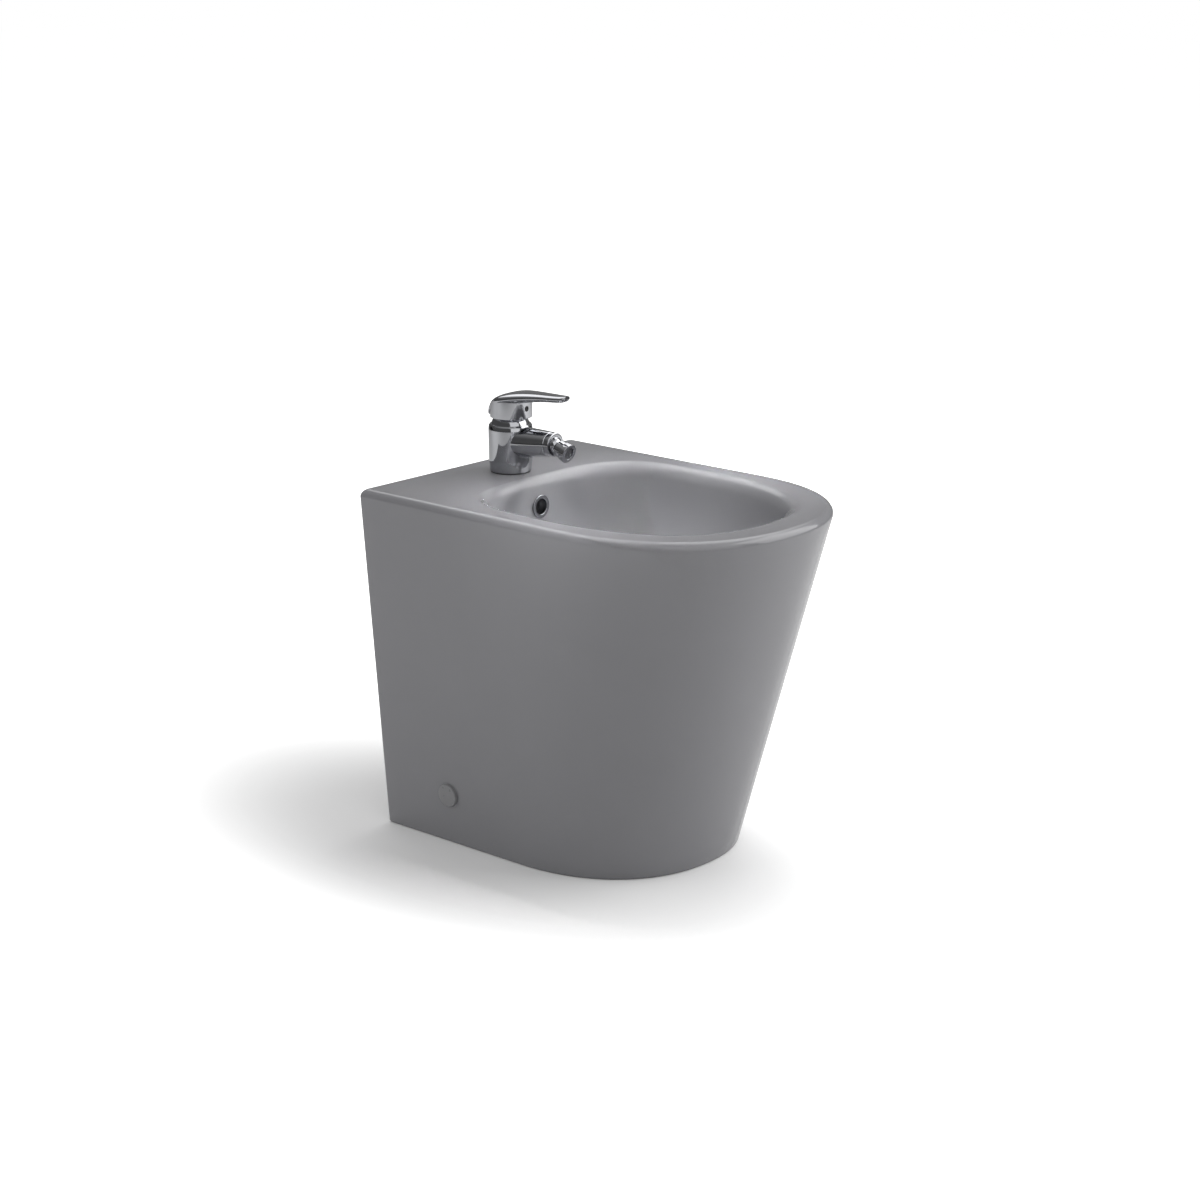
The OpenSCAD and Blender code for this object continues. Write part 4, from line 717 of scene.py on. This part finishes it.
# The side caps are moulded plastic in the colour of the china, pushed over the screws that hold
# the body to its floor brackets.
cap_plastic, tree, shader = new_material("grey_gloss_abs")
place = add_node(tree, "TexCoord").outputs["Object"]
flow = add_node(tree, "TexNoise", {"Vector": place, "Scale": 1 / (8 * MM), "Detail": 2})
tone = add_node(tree, "Mix", {"Factor": flow.outputs[0], "A": linear("79797b"), "B": linear("818183")},
                data_type="RGBA")
tree.links.new(tone.outputs["Result"], shader.inputs["Base Color"])
dull = add_node(tree, "MapRange", {"Value": flow.outputs[0], "To Min": 0.24, "To Max": 0.34})
tree.links.new(dull.outputs[0], shader.inputs["Roughness"])
CAP_R, CAP_TOP, CAP_EDGE, CAP_GAP = 13.5, 3.6, 1.1, 0.08
RIM_OUT_R, RIM_IN_R, RIM_LOW, CAP_INSIDE = 6.72, 5.32, -1.6, 1.8
cap_profile = rounded([
    (0, CAP_INSIDE, 0), (RIM_IN_R, CAP_INSIDE, 0), (RIM_IN_R, RIM_LOW, 0), (RIM_OUT_R, RIM_LOW, 0),
    (RIM_OUT_R, CAP_GAP, 0), (CAP_R, CAP_GAP, 0), (CAP_R, CAP_TOP, CAP_EDGE), (0, CAP_TOP, 0),
])
for side, name in ((-1, "left"), (1, "right")):
    cap = new_object(turned(cap_profile, side_place(side), closed=False), "side_cap_moulded_" + name)
    keep(cap, "bidet", cap_plastic, "cap_plastic", "side_cap_" + name)

# The waste is cast brass, chrome plated: a wide flange on the bowl's seat, with a bored and
# slotted tube through the china under it. Its mesh is the CAD's, merged to be shaded smooth.
waste = bmesh.new()
waste.from_mesh(nodes["waste_body"].data)
waste.transform(nodes["waste_body"].matrix_world)
bmesh.ops.remove_doubles(waste, verts=waste.verts, dist=1e-6)
waste_cast = new_object(waste, "waste_cast")
keep(waste_cast, "bidet", chrome, "chrome", "waste_body", degrees=30)

# The plug is a pressed brass disc, chrome plated and slightly domed, on the stem of the
# press-to-close waste.
SEAL_T, FLANGE_T, SEAT_GAP, PLUG_SEAL_T, PLUG_TRAVEL = 1.5, 3, 0.3, 2, 9
PLUG_R, PLUG_T, PLUG_CHAMFER, PLUG_HUB_R, CROWN = 29.5, 4, 2, 7, 2.5
at_drain = Matrix.Translation((0, WALL_Y - DRAIN_Y * MM, SEAT_Z * MM))
plug_low = SEAL_T + FLANGE_T + SEAT_GAP + PLUG_SEAL_T + PLUG_TRAVEL
crown_r, crown_z = PLUG_R - PLUG_CHAMFER, plug_low + PLUG_T
disc = new_object(turned(
    [(0, plug_low - SEAT_GAP), (PLUG_HUB_R, plug_low - SEAT_GAP)]
    + rounded([(PLUG_HUB_R, plug_low, 0), (crown_r, plug_low, 0.5), (PLUG_R, plug_low + PLUG_CHAMFER, 1.6)])
    + [(crown_r * math.cos(a), crown_z + CROWN * math.sin(a)) for a in quarter(16)[:-1]]
    + [(0.01, crown_z + CROWN)], at_drain, closed=False), "plug_disc")
keep(disc, "plug", chrome, "chrome", "plug_cap")


def coat(material, *names):
    """Gives a material to pieces that keep the CAD solid's shape."""
    for name in names:
        for slot in nodes[name].material_slots:
            slot.material = material


# The bare brass pieces inside the tap and the waste are turned from bar: the cartridge's ring
# nut, the stud's nut, the push catch and the plug's stem. Their gloss has the lathe's rings, drawn
# coarser than they are so that they show.
turned_brass, tree, shader = new_material("turned_brass")
shader.inputs["Metallic"].default_value = 1.0
place = add_node(tree, "TexCoord").outputs["Object"]
tarnish = add_node(tree, "TexNoise", {"Vector": place, "Scale": 1 / (7 * MM), "Detail": 4})
tone = add_node(tree, "Mix", {"Factor": tarnish.outputs[0], "A": linear("d2b06a"), "B": linear("b08c46")},
                data_type="RGBA")
tree.links.new(tone.outputs["Result"], shader.inputs["Base Color"])
dull = add_node(tree, "MapRange", {"Value": tarnish.outputs[0], "From Min": 0.3, "From Max": 0.7,
                                   "To Min": 0.2, "To Max": 0.38})
tree.links.new(dull.outputs[0], shader.inputs["Roughness"])
lathe = add_node(tree, "TexWave", {"Vector": place, "Scale": math.pi / 10 / (0.4 * MM), "Distortion": 0.4},
                 bands_direction="Z")
bump = add_node(tree, "Bump", {"Height": lathe.outputs[0], "Strength": 0.4, "Distance": 0.01 * MM})
tree.links.new(bump.outputs[0], shader.inputs["Normal"])
coat(turned_brass, "cartridge_nut", "stud_nut", "click_cartridge", "plug_stem")

# The pins, screws, stud, spindle, spring and the horseshoe plate under the deck are steel with a
# bright zinc plating, which is a little cloudy and finely spangled.
zinc_plated_steel, tree, shader = new_material("zinc_plated_steel")
shader.inputs["Metallic"].default_value = 1.0
place = add_node(tree, "TexCoord").outputs["Object"]
cloud = add_node(tree, "TexNoise", {"Vector": place, "Scale": 1 / (5 * MM), "Detail": 3})
spangle = add_node(tree, "TexVoronoi", {"Vector": place, "Scale": 1 / (0.9 * MM)})
patches = add_node(tree, "Mix", {"Factor": 0.35, "A": cloud.outputs["Color"], "B": spangle.outputs["Color"]},
                   data_type="RGBA")
grey = add_node(tree, "RGBToBW", {"Color": patches.outputs["Result"]})
tone = add_node(tree, "Mix", {"Factor": grey.outputs[0], "A": linear("a9adb4"), "B": linear("cfd2d6")},
                data_type="RGBA")
tree.links.new(tone.outputs["Result"], shader.inputs["Base Color"])
dull = add_node(tree, "MapRange", {"Value": grey.outputs[0], "From Min": 0.2, "From Max": 0.8,
                                   "To Min": 0.26, "To Max": 0.42})
tree.links.new(dull.outputs[0], shader.inputs["Roughness"])
bump = add_node(tree, "Bump", {"Height": cloud.outputs[0], "Strength": 0.3, "Distance": 0.02 * MM})
tree.links.new(bump.outputs[0], shader.inputs["Normal"])
coat(zinc_plated_steel, "pivot_pin", "spindle", "lever_screw", "fixing_stud", "saddle_plate",
     "click_spring", "side_screw_left", "side_screw_right")

# Every gasket, washer and seal is moulded or punched black rubber, matt with a fine grain and a
# trace of the grey bloom that old rubber gets.
epdm_rubber, tree, shader = new_material("epdm_rubber")
place = add_node(tree, "TexCoord").outputs["Object"]
bloom = add_node(tree, "TexNoise", {"Vector": place, "Scale": 1 / (6 * MM), "Detail": 4})
tone = add_node(tree, "Mix", {"Factor": bloom.outputs[0], "A": linear("151517"), "B": linear("29292b")},
                data_type="RGBA")
tree.links.new(tone.outputs["Result"], shader.inputs["Base Color"])
dull = add_node(tree, "MapRange", {"Value": bloom.outputs[0], "To Min": 0.62, "To Max": 0.85})
tree.links.new(dull.outputs[0], shader.inputs["Roughness"])
grain = add_node(tree, "TexNoise", {"Vector": place, "Scale": 1 / (0.5 * MM), "Detail": 2})
bump = add_node(tree, "Bump", {"Height": grain.outputs[0], "Strength": 0.5, "Distance": 0.03 * MM})
tree.links.new(bump.outputs[0], shader.inputs["Normal"])
coat(epdm_rubber, "base_gasket", "ball_seal", "aerator_washer", "saddle_rubber", "waste_top_seal",
     "waste_lower_seal", "plug_seal", "tail_washer", "bottle_top_seal", "cup_seal", "outlet_seal")

# The bottle trap, its nuts and pipes, the waste's back nut, the cartridge's housing and the
# screw sleeves are injection-moulded white plastic, slightly waxy and uneven.
white_polypropylene, tree, shader = new_material("white_polypropylene")
shader.inputs["IOR"].default_value = 1.49
place = add_node(tree, "TexCoord").outputs["Object"]
flow = add_node(tree, "TexNoise", {"Vector": place, "Scale": 1 / (25 * MM), "Detail": 3})
tone = add_node(tree, "Mix", {"Factor": flow.outputs[0], "A": linear("dcdcd6"), "B": linear("e8e8e4")},
                data_type="RGBA")
tree.links.new(tone.outputs["Result"], shader.inputs["Base Color"])
dull = add_node(tree, "MapRange", {"Value": flow.outputs[0], "From Min": 0.3, "From Max": 0.7,
                                   "To Min": 0.32, "To Max": 0.46})
tree.links.new(dull.outputs[0], shader.inputs["Roughness"])
peel = add_node(tree, "TexNoise", {"Vector": place, "Scale": 1 / (1.4 * MM), "Detail": 2})
bump = add_node(tree, "Bump", {"Height": peel.outputs[0], "Strength": 0.4, "Distance": 0.02 * MM})
tree.links.new(bump.outputs[0], shader.inputs["Normal"])
coat(white_polypropylene, "cartridge_housing", "waste_backnut", "tail_pipe", "tail_nut",
     "bottle_body", "bottle_top_nut", "bottle_cup", "outlet_pipe", "outlet_nut",
     "screw_sleeve_left", "screw_sleeve_right")

# The floor brackets, the cartridge's turning carrier and the nozzle's flow insert are moulded
# from grey nylon filled with glass fibre, whose short fibres leave a dull, streaky skin.
glass_filled_nylon, tree, shader = new_material("glass_filled_nylon")
place = add_node(tree, "TexCoord").outputs["Object"]
along = add_node(tree, "Mapping", {"Vector": place, "Scale": (1, 6, 6)})
fibre = add_node(tree, "TexNoise", {"Vector": along.outputs[0], "Scale": 1 / (4 * MM), "Detail": 4})
tone = add_node(tree, "Mix", {"Factor": fibre.outputs[0], "A": linear("505155"), "B": linear("68696d")},
                data_type="RGBA")
tree.links.new(tone.outputs["Result"], shader.inputs["Base Color"])
dull = add_node(tree, "MapRange", {"Value": fibre.outputs[0], "From Min": 0.3, "From Max": 0.7,
                                   "To Min": 0.48, "To Max": 0.68})
tree.links.new(dull.outputs[0], shader.inputs["Roughness"])
bump = add_node(tree, "Bump", {"Height": fibre.outputs[0], "Strength": 0.4, "Distance": 0.03 * MM})
tree.links.new(bump.outputs[0], shader.inputs["Normal"])
coat(glass_filled_nylon, "cartridge_rotor", "aerator_insert", "bracket_left", "bracket_right")

# The cartridge's two discs are pressed, fired and lapped alumina, off-white with a faint speckle
# and a polished face that seals on the other.
lapped_alumina, tree, shader = new_material("lapped_alumina")
shader.inputs["IOR"].default_value = 1.7
place = add_node(tree, "TexCoord").outputs["Object"]
speckle = add_node(tree, "TexNoise", {"Vector": place, "Scale": 1 / (0.8 * MM), "Detail": 4})
tone = add_node(tree, "Mix", {"Factor": speckle.outputs[0], "A": linear("ddd8cc"), "B": linear("efebe2")},
                data_type="RGBA")
tree.links.new(tone.outputs["Result"], shader.inputs["Base Color"])
dull = add_node(tree, "MapRange", {"Value": speckle.outputs[0], "To Min": 0.14, "To Max": 0.24})
tree.links.new(dull.outputs[0], shader.inputs["Roughness"])
coat(lapped_alumina, "fixed_disc", "moving_disc")

low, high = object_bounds()
